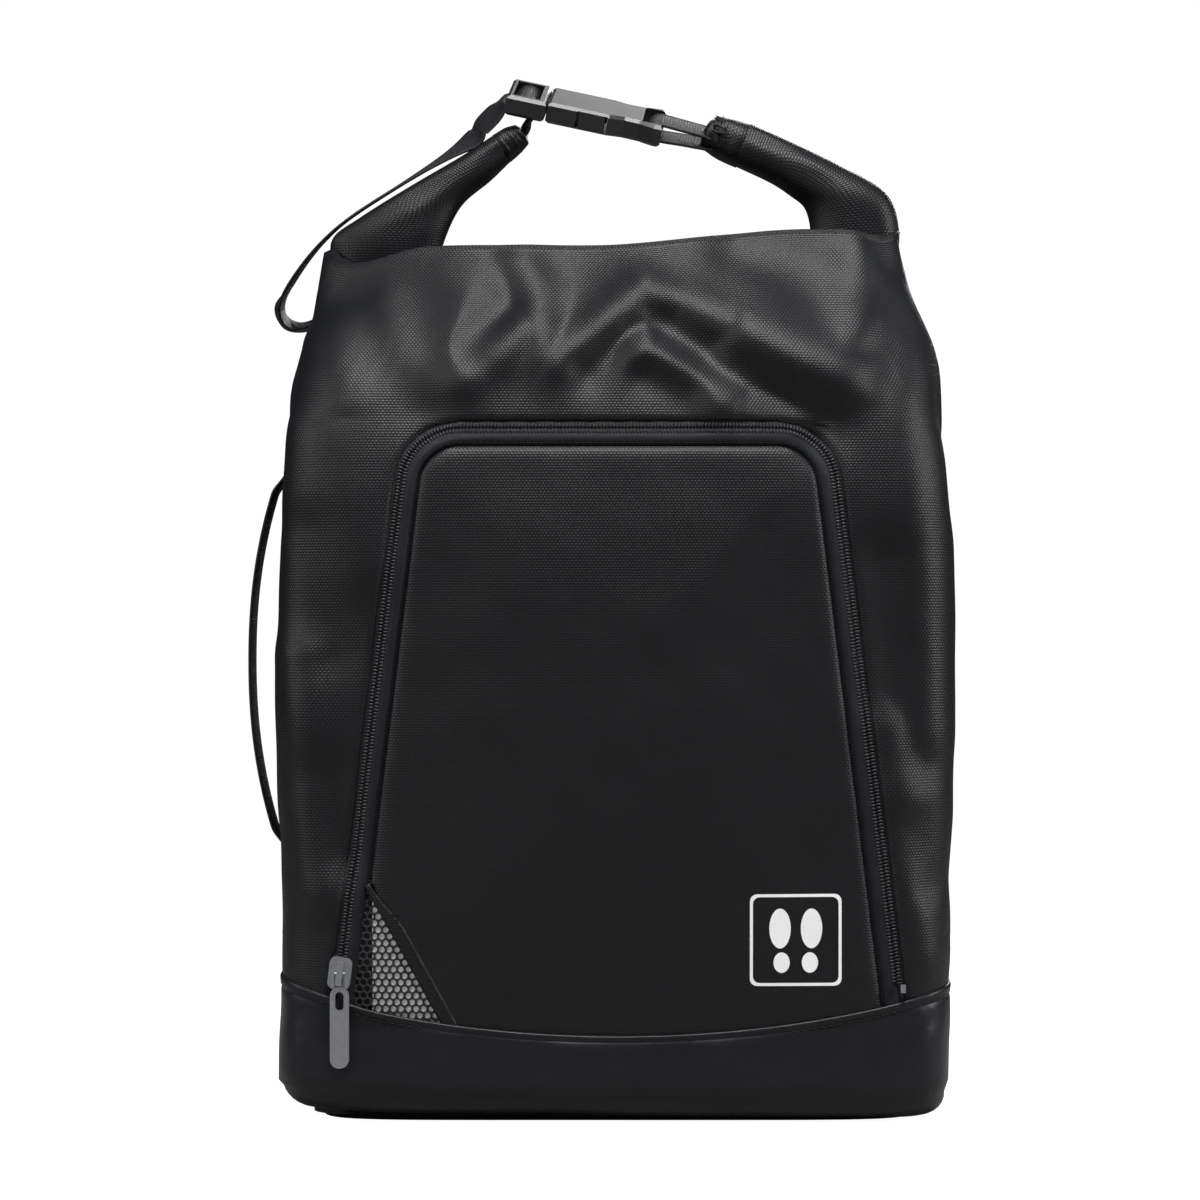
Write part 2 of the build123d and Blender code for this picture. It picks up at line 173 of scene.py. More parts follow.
def seam_z(x):
    """Height of the seam between cloth and coated base, a little higher on the left."""
    x = np.asarray(x, float)
    return SEAM_MIDDLE_Z + SEAM_RADIUS - np.sqrt(SEAM_RADIUS ** 2 - x ** 2) + 3.2 * smooth(90, 130, -x)


FOLD_WIDTH = 1.25             # how much wider than its table the folds lie
FRONT_GAIN = 1.25             # how much higher the folds of the front stand
# start x, start z, end x, end z, width and height of each fold; a dent has a height below 0
FRONT_FOLDS = [
    (12, 323, 48, 301, 8, 5.0), (48, 301, 86, 286, 10, 6.0), (22, 307, 50, 287, 9, -4.2),
    (50, 287, 74, 266, 10, -4.2), (8, 298, 40, 276, 8, 3.6), (40, 276, 68, 268, 7, 2.0),
    (12, 286, 26, 279, 7, -2.6), (12, 323, -22, 292, 8, 4.4), (5, 304, -12, 289, 7, -2.6),
    (-36, 336, -27, 295, 8, 3.4),
    (-42, 318, -57, 297, 8, -3.2), (-36, 307, -60, 284, 8, 3.2), (50, 336, 92, 319, 11, -4.6),
    (99, 338, 89, 294, 7, 3.2), (106, 330, 102, 288, 8, -2.2), (-78, 318, -74, 275, 12, -3.2),
    (-104, 322, -80, 276, 10, -3.0), (-66, 328, -50, 322, 12, 2.2), (-110, 318, -108, 276, 8, 2.4),
    (-112, 262, -98, 215, 12, 2.2), (-121, 178, -113, 88, 7, 3.6), (-112, 132, -106, 104, 8, -2.6),
    (-118, 226, -110, 180, 9, -2.2), (105, 150, 117, 64, 8, 2.8), (112, 250, 118, 150, 9, 2.2),
    (104, 215, 112, 140, 9, -2.0), (106, 280, 112, 245, 9, 2.0), (112, 112, 119, 92, 7, -2.2),
]
BACK_FOLDS = [
    (-60, 335, -30, 296, 9, 2.8), (-30, 296, 10, 262, 11, 2.2), (20, 338, 52, 300, 9, 3.0),
    (52, 300, 60, 255, 12, 2.0), (-10, 325, 18, 290, 9, -2.6), (-80, 318, -66, 268, 12, -2.4),
    (84, 320, 78, 270, 11, -2.2),
    (-104, 320, -96, 262, 9, 2.0), (100, 326, 98, 268, 9, 2.2), (-70, 200, 60, 214, 30, 1.6),
    (-90, 110, 80, 92, 34, -1.4),
]
SIDE_FOLDS = [
    (-26, 318, -8, 262, 7, 2.4), (22, 316, 6, 256, 7, 2.2), (0, 330, 0, 280, 6, -3.0),
    (-4, 250, 4, 90, 16, -2.6), (-34, 220, -30, 120, 10, 1.2), (34, 200, 28, 90, 10, 1.2),
]


def folds(a, b, table):
    """Height of the folds in a table, at points a and b of the face that they lie on."""
    swell = np.zeros(np.broadcast(a, b).shape)
    dent = np.zeros_like(swell)
    for a0, b0, a1, b1, width, height in table:
        run_a, run_b = a1 - a0, b1 - b0
        share = np.clip(((a - a0) * run_a + (b - b0) * run_b) / (run_a ** 2 + run_b ** 2), 0, 1)
        distance = np.hypot(a - a0 - share * run_a, b - b0 - share * run_b)
        shape = height * np.exp(-(distance / (width * FOLD_WIDTH)) ** 2)
        swell = np.maximum(swell, shape)
        dent = np.minimum(dent, shape)
    return swell + dent


def door_depth(x, z):
    """About how far inside the door's outline a point of the front lies; below 0 outside it."""
    leg = (DOOR_HALF_SILL - DOOR_LEAN * (z - DOOR_SILL_Z) - np.abs(x)) / sqrt(1 + DOOR_LEAN ** 2)
    top = DOOR_TOP_Z - z
    past_leg, past_top = np.maximum(DOOR_CORNER - leg, 0), np.maximum(DOOR_CORNER - top, 0)
    rounded = DOOR_CORNER - np.hypot(past_leg, past_top)
    return np.where(past_leg + past_top > 0, rounded, np.minimum(leg, top))


def relief(x, y, z):
    """How far the cloth stands out of the plain form."""
    x, y, z = np.broadcast_arrays(np.asarray(x, float), np.asarray(y, float), np.asarray(z, float))
    front = smooth(2, 26, -y)
    back = smooth(2, 26, y)
    side = smooth(108, 128, np.abs(x))
    total = FRONT_GAIN * front * folds(x, z, FRONT_FOLDS)
    total = total + back * folds(x, z, BACK_FOLDS) + side * folds(y, z, SIDE_FOLDS)
    inside = door_depth(x, z)
    total += front * 3.8 * smooth(PANEL_INSET, 75, inside) * smooth(36, 110, z)
    total += back * 4.0 * np.clip(1 - (x / 118) ** 2, 0, 1) * smooth(10, 90, z) * smooth(300, 220, z)
    loose = smooth(240, 300, z) * 1.0 + 0.45
    near_zip = front * np.exp(-(inside / 9) ** 2)
    total += loose * (1 - 0.8 * near_zip) * (waves(x, y, z, 62, 3) * 0.9 + waves(x, y, z, 27, 8) * 0.35)
    return total * smooth(8, 60, z)


def ridge_lift(x, y):
    """The top edge climbs to the right, and dips at its two front corners."""
    corners = 9.5 * smooth(76, 116, -x) + 3.5 * smooth(88, 110, x)
    sides = 1.3 * smooth(95, 114, x) + 1.5 * smooth(85, 114, -x)
    return 6.9 * smooth(-10, 75, x) + sides - 3.6 - smooth(2, 20, -y) * corners


def normal_at(x, y, z):
    """Level outward direction of the bag's outline."""
    width, depth, power = section(z)
    across = np.sign(x) * np.abs(x / width) ** (power - 1) / width
    out = np.sign(y) * np.abs(y / depth) ** (power - 1) / depth
    return unit(np.stack([across, out, np.zeros_like(across)], -1))


def on_body(x, y, z, lift=0.0):
    """Points of the bag's outline at a height, moved out to the real surface and a little beyond."""
    x, y, z, lift = np.broadcast_arrays(*(np.asarray(v, float) for v in (x, y, z, lift)))
    out = normal_at(x, y, z) * (relief(x, y, z) + lift)[..., None]
    x = x - 1.0 * smooth(100, 126, np.abs(x)) - 1.4 * smooth(285, 345, z)
    risen = z + ridge_lift(x, y) * smooth(282, RIDGE_Z, z)
    return np.stack([x, y, risen], -1) + out


def on_front(x, z, lift=0.0):
    """Points of the front face over a flat X and Z."""
    x, z, lift = np.broadcast_arrays(*(np.asarray(v, float) for v in (x, z, lift)))
    width, depth, power = section(z)
    y = -depth * (1 - np.clip(np.abs(x) / width, 0, 0.9999) ** power) ** (1 / power)
    return on_body(x, y, z, lift)


def ring(width, depth, power, count=1600):
    """One level outline, from the middle of the back round by the left side, with distances along it."""
    turn = np.linspace(pi / 2, 5 * pi / 2, count)
    reach = (np.abs(np.cos(turn) / width) ** power + np.abs(np.sin(turn) / depth) ** power) ** (-1 / power)
    x, y = reach * np.cos(turn), reach * np.sin(turn)
    return x, y, lengths(np.stack([x, y], 1))


# -------- line of the zipper
def door_line():
    """The cut edge of the cloth round the door as close points from the left sill, with inward directions."""
    foot_z = SEAM_MIDDLE_Z
    up = unit(np.array([DOOR_LEAN, 1.0]))
    corner = np.array([-DOOR_HALF_TOP, DOOR_TOP_Z])
    turn = atan2(up[1], up[0])
    tangent = corner - up * DOOR_CORNER * tan(turn / 2)
    centre = tangent + DOOR_CORNER * np.array([up[1], -up[0]])
    foot = corner - up * (DOOR_TOP_Z - foot_z) / up[1]
    angles = np.linspace(pi / 2 + turn, pi / 2, 40)
    arc = centre + DOOR_CORNER * np.stack([np.cos(angles), np.sin(angles)], 1)
    left = np.vstack([np.linspace(foot, tangent, 160)[:-1], arc])
    top = np.linspace(arc[-1], arc[-1] * [-1, 1], 120)[1:-1]
    line = np.vstack([left, top, left[::-1] * [-1, 1]])
    way = unit(np.gradient(line, axis=0))
    return line, np.stack([way[:, 1], -way[:, 0]], 1)


LINE, INWARD = door_line()
LEG_POINTS = 199              # points of the line in its left leg and corner


def door_half(z, inset=0.0):
    """Half width of the door's outline at a height, drawn in by inset."""
    leg = (LINE + INWARD * inset)[:LEG_POINTS]
    return -np.interp(z, leg[:, 1], leg[:, 0])


# -------- mesh helpers
def add_mesh(name, verts, faces, material, uvs=None):
    """A smooth-shaded object from points in millimetres; uvs are per vertex, in millimetres of cloth."""
    mesh = bpy.data.meshes.new(name)
    mesh.from_pydata((np.asarray(verts, float) * MM).tolist(), [], [list(map(int, face)) for face in faces])
    if uvs is not None:
        layer = mesh.uv_layers.new(name="thread")
        corner = np.zeros(len(mesh.loops), int)
        mesh.loops.foreach_get("vertex_index", corner)
        layer.data.foreach_set("uv", np.asarray(uvs, float)[corner].ravel())
    mesh.polygons.foreach_set("use_smooth", np.ones(len(mesh.polygons), bool))
    obj = bpy.data.objects.new(name, mesh)
    bpy.context.scene.collection.objects.link(obj)
    for each in material if isinstance(material, list) else [material]:
        mesh.materials.append(each)
    return obj


def grid_faces(rows, columns, keep=None, closed=False):
    """Quads of a grid of points; keep drops some, closed joins the last column to the first."""
    faces = []
    for row in range(rows - 1):
        for column in range(columns if closed else columns - 1):
            if keep is not None and not keep[row, column]:
                continue
            beside = (column + 1) % columns
            faces.append((row * columns + column, row * columns + beside,
                          (row + 1) * columns + beside, (row + 1) * columns + column))
    return faces


def add_grid(name, points, material, uvs=None, keep=None, closed=False, flip=False):
    """A sheet from a grid of points."""
    rows, columns = points.shape[:2]
    faces = grid_faces(rows, columns, keep, closed)
    if flip:
        faces = [face[::-1] for face in faces]
    flat = None if uvs is None else uvs.reshape(-1, 2)
    return add_mesh(name, points.reshape(-1, 3), faces, material, flat)


def settle(obj):
    """Makes an object's modifiers part of its mesh."""
    evaluated = obj.evaluated_get(bpy.context.evaluated_depsgraph_get())
    mesh = bpy.data.meshes.new_from_object(evaluated)
    obj.modifiers.clear()
    obj.data = mesh
    return obj


def thicken(obj, thickness, offset=-1.0, inner=0, rim=0):
    """Gives a sheet its thickness, inwards by default, with its own material on the inner face."""
    modifier = obj.modifiers.new("thickness", "SOLIDIFY")
    modifier.thickness = thickness * MM
    modifier.offset = offset
    modifier.use_even_offset = False
    modifier.material_offset = inner
    modifier.material_offset_rim = rim
    return settle(obj)


def clean(obj, gap=0.02):
    """Joins doubled points and drops loose ones."""
    work = bmesh.new()
    work.from_mesh(obj.data)
    bmesh.ops.remove_doubles(work, verts=work.verts, dist=gap * MM)
    loose = [v for v in work.verts if not v.link_faces]
    bmesh.ops.delete(work, geom=loose, context="VERTS")
    work.to_mesh(obj.data)
    work.free()
    return obj


def add_many(name, shapes, material):
    """One object from many small (verts, faces) shapes."""
    verts, faces, base = [], [], 0
    for shape_verts, shape_faces in shapes:
        verts.append(shape_verts)
        faces += [tuple(index + base for index in face) for face in shape_faces]
        base += len(shape_verts)
    return add_mesh(name, np.vstack(verts), faces, material)


def pill(centre, along, out, length, width, height):
    """A small rounded stitch or tooth: centre, direction of its length and of its height, and its size."""
    along, out = unit(np.array(along, float)), unit(np.array(out, float))
    side = np.cross(along, out)
    rings, sides = 5, 8
    verts = []
    for step in range(rings):
        tilt = pi * (step + 0.5) / rings
        for spoke in range(sides):
            turn = 2 * pi * spoke / sides
            local = (-cos(tilt) * length / 2, sin(tilt) * cos(turn) * width / 2,
                     sin(tilt) * sin(turn) * height / 2)
            verts.append(np.array(centre) + along * local[0] + side * local[1] + out * local[2])
    faces = grid_faces(rings, sides, closed=True)
    faces += [tuple(range(sides))[::-1], tuple(range((rings - 1) * sides, rings * sides))]
    return np.array(verts), faces


def stitch_row(points, outs, pitch, length, width, height):
    """Stitches along a line of surface points with their outward directions."""
    both, _ = evenly(np.hstack([points, outs]), pitch)
    spots, out = both[:, :3], unit(both[:, 3:])
    ways = np.gradient(spots, axis=0)
    return [pill(spot, way, normal, length, width, height) for spot, way, normal in zip(spots, ways, out)]


# -------- materials
def maths(tree, operation, first, second=None):
    """A maths node; each input is a number or another node's output."""
    node = tree.nodes.new("ShaderNodeMath")
    node.operation = operation
    for socket, value in zip(node.inputs, (first, second)):
        if isinstance(value, (int, float)):
            socket.default_value = value
        elif value is not None:
            tree.links.new(value, socket)
    return node.outputs[0]


def put(node, **values):
    """Sets inputs of a node; an underscore stands for the space in an input's name."""
    for name, value in values.items():
        node.inputs[name.replace("_", " ")].default_value = value


def new_material(name, colour, roughness, metallic=0.0, specular=0.5):
    """A Principled material, with its tree and shader node."""
    material = bpy.data.materials.new(name)
    material.use_nodes = True
    tree = material.node_tree
    shader = next(node for node in tree.nodes if node.type == "BSDF_PRINCIPLED")
    put(shader, Base_Color=(*colour, 1), Roughness=roughness, Metallic=metallic, Specular_IOR_Level=specular)
    return material, tree, shader


def noise(tree, scale, detail=3.0, source=None):
    """A noise node's factor; source is a vector output, the object's own place if none."""
    node = tree.nodes.new("ShaderNodeTexNoise")
    put(node, Scale=scale, Detail=detail)
    if source is None:
        source = tree.nodes.new("ShaderNodeTexCoord").outputs["Object"]
    tree.links.new(source, node.inputs["Vector"])
    return node.outputs["Fac"]


def bump(tree, shader, height, depth_mm, after=None):
    """Bends the shader's normal by a height between 0 and 1."""
    node = tree.nodes.new("ShaderNodeBump")
    put(node, Strength=1.0, Distance=depth_mm * MM)
    tree.links.new(height, node.inputs["Height"])
    if after is not None:
        tree.links.new(after, node.inputs["Normal"])
    tree.links.new(node.outputs["Normal"], shader.inputs["Normal"])
    return node.outputs["Normal"]


def tint(tree, shader, share, dark, light):
    """Base colour between two tones, by a value from 0 to 1."""
    node = tree.nodes.new("ShaderNodeMix")
    node.data_type = "RGBA"
    node.inputs["A"].default_value = (*dark, 1)
    node.inputs["B"].default_value = (*light, 1)
    tree.links.new(share, node.inputs["Factor"])
    tree.links.new(node.outputs["Result"], shader.inputs["Base Color"])


def thread_uv(tree):
    """Place on the cloth in millimetres: across, up, and the vector of both."""
    uv = tree.nodes.new("ShaderNodeUVMap")
    uv.uv_map = "thread"
    split = tree.nodes.new("ShaderNodeSeparateXYZ")
    tree.links.new(uv.outputs["UV"], split.inputs["Vector"])
    return split.outputs["X"], split.outputs["Y"], uv.outputs["UV"]


def woven(name, dark, light, pitch, depth, roughness, specular=0.3):
    """Cloth whose threads show as offset rows of small humps, painted lighter on the humps and darker in the
    gaps between them: painted shade.
    """
    material, tree, shader = new_material(name, dark, roughness, specular=specular)
    across, up, place = thread_uv(tree)
    rows = maths(tree, "DIVIDE", up, pitch * 0.75)
    shift = maths(tree, "MULTIPLY", maths(tree, "FLOOR", rows), 0.5)
    columns = maths(tree, "ADD", maths(tree, "DIVIDE", across, pitch), shift)
    humps = [maths(tree, "SINE", maths(tree, "MULTIPLY", maths(tree, "FRACT", value), pi))
             for value in (rows, columns)]
    weave = maths(tree, "MULTIPLY", *humps)
    cloud = noise(tree, 0.06, 4.0, place)
    # painted shade: the weave's height darkens the gaps between the threads, mixed with a random cloud of tone
    weave_shade_and_tone = maths(tree, "ADD", maths(tree, "MULTIPLY", weave, 0.75), maths(tree, "MULTIPLY", cloud, 0.35))
    tint(tree, shader, weave_shade_and_tone, dark, light)
    bump(tree, shader, weave, depth)
    return material


def coated():
    """Matt coated cloth of the base: fine pores and soft wrinkles."""
    material, tree, shader = new_material("coated_base", (0.008, 0.0085, 0.0100), 0.40, specular=0.25)
    place = thread_uv(tree)[2]
    first = bump(tree, shader, noise(tree, 1.6, 5.0, place), 0.05)
    bump(tree, shader, noise(tree, 0.10, 2.0, place), 0.5, first)
    tint(tree, shader, noise(tree, 0.05, 3.0, place), (0.0062, 0.0066, 0.0080), (0.0105, 0.0110, 0.0132))
    return material


def moulded(name, colour, roughness, grain, metallic=0.0, specular=0.5, depth=0.02):
    """Plastic or metal with a fine skin."""
    material, tree, shader = new_material(name, colour, roughness, metallic, specular=specular)
    skin = noise(tree, grain, 3.0)
    bump(tree, shader, skin, depth)
    tint(tree, shader, skin, [0.85 * part for part in colour], [min(1.15 * part, 1) for part in colour])
    return material


BODY_CLOTH = woven("body_cloth", (0.0010, 0.0012, 0.0017), (0.0050, 0.0056, 0.0074), 1.4, 0.105, 0.46, 0.32)
LINING = woven("lining_cloth", (0.0055, 0.0058, 0.0066), (0.011, 0.0115, 0.013), 0.6, 0.05, 0.7)
STRAP = woven("strap_yarn", (0.0035, 0.0037, 0.0044), (0.012, 0.0125, 0.0145), 0.8, 0.10, 0.5, specular=0.3)
TAPE = woven("tape_yarn", (0.0060, 0.0065, 0.0080), (0.0120, 0.0128, 0.0155), 0.55, 0.05, 0.5, specular=0.2)
LIGHT_MESH_BACK = woven("pale_backing", (0.86, 0.86, 0.87), (0.94, 0.94, 0.94), 0.9, 0.05, 0.8)
COATED = coated()
COIL = moulded("coil_nylon", (0.013, 0.0137, 0.0158), 0.4, 900, specular=0.3)
MESH_YARN = moulded("mesh_yarn", (0.012, 0.0125, 0.014), 0.55, 1500)
THREAD = moulded("sewing_thread", (0.0035, 0.0036, 0.0042), 0.55, 3000, specular=0.2)
PRINT = moulded("white_print", (0.84, 0.84, 0.84), 0.6, 1800, depth=0.03)
BUCKLE = moulded("buckle_nylon", (0.011, 0.011, 0.012), 0.34, 700, specular=0.5)
METAL = moulded("satin_metal", (0.36, 0.365, 0.38), 0.40, 500, metallic=0.85)
BOARD = moulded("board_plastic", (0.02, 0.02, 0.02), 0.6, 300)


# -------- cloth shell of the body
def zip_distance(x, z):
    """Distance of points of the front to the cut edge of the door."""
    flat = np.stack([np.ravel(x), np.ravel(z)], 1)
    return np.array([np.hypot(*(LINE - point).T).min() for point in flat]).reshape(np.shape(x))


SIDE_COLUMNS = 112
EDGE_STEPS = np.array([4.4, 3.0, 1.8, 0.9, 0.3, 0])      # columns that turn in at the door's cut edge


def body_columns(z):
    """Outline of a level as x, y and distance from the front's middle; its columns follow the door."""
    width, depth, power = section(z)
    x, y, along = ring(width, depth, power)
    half = along[-1] / 2
    front = (along > along[-1] / 4) & (along < half)
    door = np.interp(-door_half(min(z, DOOR_TOP_Z)), x[front], along[front])
    whole = np.linspace(0, half - DOOR_HALF_SILL - 6, SIDE_COLUMNS)
    slack = door - 6 - whole[-1]
    side = np.concatenate([whole + slack * smooth(whole[-1] - 30, whole[-1], whole), door - EDGE_STEPS])
    inner = np.linspace(door, 2 * half - door, 66)[1:-1]
    at = np.concatenate([side, inner, 2 * half - side[::-1]])
    return np.interp(at, along, x), np.interp(at, along, y), at - half


def body_cloth():
    """The whole cloth shell above the coated base, over the ridge and down into the mouth's trough."""
    straight = np.arange(28, 246, 2.6)
    corner = [DOOR_TOP_Z - DOOR_CORNER * (1 - sin(radians(angle))) for angle in range(8, 72, 9)]
    over = [DOOR_TOP_Z + step for step in (0, 0.8, 1.7, 2.8, 4.2)]
    levels = np.concatenate([straight, corner, over, np.arange(275, 339, 2.0), [339.6, RIDGE_Z]])
    rows, uvs = [], []
    climbed = 0.0
    for index, z in enumerate(levels):
        x, y, along = body_columns(z)
        near = np.where(y < 0, zip_distance(x, np.full_like(x, z)), 99)
        lift = -1.0 * np.exp(-(near / 0.9) ** 1.5) * (z < DOOR_TOP_Z + 8)
        rows.append(on_body(x, y, z, lift - 0.5 * smooth(0, 3, seam_z(x) - z)))
        if index:
            below = levels[index - 1]
            climbed += hypot(z - below, half_depth(z) - half_depth(below))
        uvs.append(np.stack([along, np.full_like(along, climbed)], 1))
    ridge_x, ridge_y, along = body_columns(RIDGE_Z)
    ridge = rows[-1]
    out = normal_at(ridge_x, ridge_y, np.full_like(ridge_x, RIDGE_Z))
    # height against the ridge, how far in the sides and the front and back have come, share of relief left
    trough = [(1.3, 0.8, 0.4, 1), (1.9, 1.8, 1.4, 1), (1.5, 3.0, 2.6, 0.95), (-0.8, 4.2, 4.0, 0.9),
              (-5, 5.2, 5.6, 0.7), (-10, 6.0, 7.6, 0.5), (-16, 6.8, 10.4, 0.25), (-21, 7.4, 13.6, 0.1),
              (-24, 7.8, 18.5, 0), (-24.6, 8.0, 24, 0)]
    width, depth, _ = section(RIDGE_Z)
    own_relief = relief(ridge_x, ridge_y, np.full_like(ridge_x, RIDGE_Z))
    for rise, in_x, in_y, share in trough:
        place = np.stack([ridge_x * (1 - in_x / width), ridge_y * (1 - in_y / depth), ridge[:, 2] + rise], 1)
        place[:, :2] += out[:, :2] * (own_relief * share)[:, None]
        rows.append(place)
        climbed += 3.0
        uvs.append(np.stack([along, np.full_like(along, climbed)], 1))
    points = np.array(rows)
    keep = np.ones(points.shape[:2], bool)
    edge = SIDE_COLUMNS + len(EDGE_STEPS)
    keep[:len(straight) + len(corner), edge - 1:-edge] = False
    shell = add_grid("body_cloth", points, [BODY_CLOTH, LINING], np.array(uvs), keep)
    return thicken(clean(shell), CLOTH, inner=1)


def base_coat():
    """Coated cloth of the base and the band, with its folded upper edge."""
    columns = 460
    share = np.linspace(0, 1, columns, endpoint=False)

    def outline(z):
        x, y, along = ring(*section(z))
        at = share * along[-1]
        return np.interp(at, along, x), np.interp(at, along, y), at

    rows, uvs = [], []
    x, y, along = outline(0.0)
    for scale in (0.01, 0.25, 0.5, 0.72, 0.88, 0.96):
        sag = 0.25 * waves(x * scale, y * scale, 0 * x, 60, 5) * (1 - scale)
        rows.append(np.stack([x * scale, y * scale, np.abs(sag)], 1))
        uvs.append(np.stack([x * scale, y * scale], 1))
    for tilt in np.radians([0, 12, 24, 36, 48, 60, 74, 90]):
        z = BASE_ROUND * (1 - cos(tilt))
        x, y, along = outline(z)
        lifted = z + (2.2 - 0.014 * x + 0.5 * waves(x, y, 0 * x, 90, 17)) * smooth(24, 2, z)
        rows.append(on_body(x, y, lifted, base_dents(x, y, np.full_like(x, z))))
        uvs.append(np.stack([along, np.full_like(x, z)], 1))
    below = [30, 26, 22, 18.5, 15.5, 13, 10.8, 8.8, 7, 5.6, 4.4, 3.8, 3.3, 2.8, 2.2, 1.5, 0.9, 0.4, 0.1, 0]
    x, y, along = outline(SEAM_LEVEL)
    top = seam_z(x)
    for step in below:
        z = BASE_ROUND + (top - BASE_ROUND) * (1 - step / 34)
        edge = np.interp(step, [0, 0.1, 0.4, 0.9, 1.5, 2.2, 2.8, 3.3, 3.8, 4.4, 5.6, 9],
                         [0.1, 0.75, 1.15, 1.3, 1.3, 1.2, 0.95, 0.8, 0.95, 1.1, 1.1, 1.0])
        rows.append(on_body(x, y, z, edge + base_dents(x, y, z)))
        uvs.append(np.stack([along, z], 1))
    coat = add_grid("base_coat", np.array(rows), [COATED, LINING], np.array(uvs), closed=True)
    return thicken(coat, 1.5, inner=1)


# x, z, radius across, radius up, depth of the soft dents and swells of the coated band's front
BASE_SWELLS = [(-103, 19, 17, 9, 1.3), (-45, 32, 26, 8, 0.8), (12, 24, 30, 9, 1.0), (-7, 12, 22, 7, -1.0),
               (96, 36, 16, 7, -1.5), (118, 27, 7, 15, 1.6), (-120, 28, 7, 15, 1.4), (62, 22, 22, 8, 0.9),
               (-72, 14, 18, 6, -0.9), (106, 14, 14, 6, 0.9), (40, 38, 26, 5, -0.6), (-92, 38, 15, 6, -0.8)]


def base_dents(x, y, z):
    """Relief of the coated band."""
    total = 0.7 * waves(x, y, z, 48, 21) + 0.25 * waves(x, y, z, 19, 4)
    for at_x, at_z, wide, high, depth in BASE_SWELLS:
        bell = np.exp(-((x - at_x) / wide) ** 2 - ((z - at_z) / high) ** 2)
        total = total + depth * bell * smooth(4, 30, -y)
    return total * smooth(0, 12, z) * smooth(0, 7, seam_z(x) - z)


def band_stitches():
    """Top stitching three millimetres under the band's folded edge, all the way round."""
    x, y, _ = ring(*section(SEAM_LEVEL), count=500)
    z = seam_z(x) - 3.3
    points = on_body(x, y, z, 0.95)
    return add_many("band_stitches", stitch_row(points, normal_at(x, y, z), 3.5, 2.5, 0.8, 0.5), THREAD)


# -------- door
VENT_TOP = np.array([-95.3, 88.4])       # the mesh vent's long edge, from its top
VENT_FOOT = np.array([-63.5, 30.6])
VENT_WAY = unit(VENT_FOOT - VENT_TOP)
VENT_OUT = np.array([-VENT_WAY[1], VENT_WAY[0]])
VENT_HEM = 5.6
VENT_DEPTH = -1.9             # how the cloth behind the net lies against the front


def past_vent(x, z):
    """Distance of points beyond the vent's long edge, towards the door's middle."""
    return (x - VENT_TOP[0]) * VENT_OUT[0] + (z - VENT_TOP[1]) * VENT_OUT[1]


def vent_point(along, reach):
    """X and Z of points at a length along the vent's long edge and a distance out from it."""
    return (VENT_TOP[i] + VENT_WAY[i] * along + VENT_OUT[i] * reach for i in (0, 1))


def door_lift(x, z):
    """The door's cloth stands a little proud in the middle and turns in at its edge."""
    edge = np.minimum((door_half(z, PANEL_INSET) - np.abs(x)), DOOR_TOP_Z - PANEL_INSET - z)
    return 0.35 - 1.9 * np.exp(-(np.maximum(edge, 0) / 1.5)) - 0.9 * smooth(0, 3, seam_z(x) - z)


def door_cloth():
    """The door's cloth inside the zipper, without the vent."""
    top = DOOR_TOP_Z - PANEL_INSET
    radius = DOOR_CORNER - PANEL_INSET
    corner = [top - radius * (1 - sin(radians(a))) for a in (10, 20, 30, 40, 50, 59, 67, 74, 80, 85, 89)]
    levels = np.concatenate([np.arange(30, top - radius, 2.4), corner])
    side = 1 - np.array([0, 0.3, 0.9, 1.8, 3.0, 4.6]) / 100
    across = np.concatenate([-side, np.linspace(-0.93, 0.93, 88), side[::-1]])
    x = across[None, :] * door_half(levels, PANEL_INSET)[:, None]
    z = np.broadcast_to(levels[:, None], x.shape)
    points = on_front(x, z, door_lift(x, z))
    centre_x, centre_z = (x[:-1, :-1] + x[1:, 1:]) / 2, (z[:-1, :-1] + z[1:, 1:]) / 2
    keep = past_vent(centre_x, centre_z) > 1.8
    cloth = add_grid("door_cloth", points, [BODY_CLOTH, LINING], np.stack([x, z], -1), keep)
    return thicken(clean(cloth), CLOTH, inner=1)


def line_ribbon(name, insets, lifts):
    """A strip along the zipper's line, from cross-section points given as inset and lift."""
    rows, uvs = [], []
    for inset, lift in zip(insets, lifts):
        points = LINE + INWARD * inset
        x, z = points[:, 0], points[:, 1]
        rows.append(on_front(x, z, lift))
        uvs.append(np.stack([np.full_like(x, inset), lengths(points)], 1))
    keep = np.tile(LINE[:, 1] >= SEAM_MIDDLE_Z, (len(insets), 1))
    ribbon = add_grid(name, np.array(rows), TAPE, np.array(uvs), keep, flip=True)
    return thicken(clean(ribbon), 0.5)


def zip_teeth(name, inset, shift):
    """One side of the closed coil as a row of loops."""
    length = CHAIN_PITCH / 4
    points = LINE + INWARD * inset
    fine, _ = evenly(points, length)
    ways = unit(np.gradient(fine, axis=0))
    inward = np.stack([ways[:, 1], -ways[:, 0]], 1)
    shapes = []
    for index in range(2 * shift, len(fine), 4):
        x, z = fine[index]
        if z < (SLIDER_Z + 1 if x < 0 else STOP_TOP_Z):
            continue
        centre = on_front(x, z, -0.75)
        way = on_front(x + inward[index, 0], z + inward[index, 1], -0.75) - centre
        out = normal_at(x, centre[1], z)
        shapes.append(pill(centre, way, out, 2.35, 1.12, 1.1))
    return add_many(name, shapes, COIL)


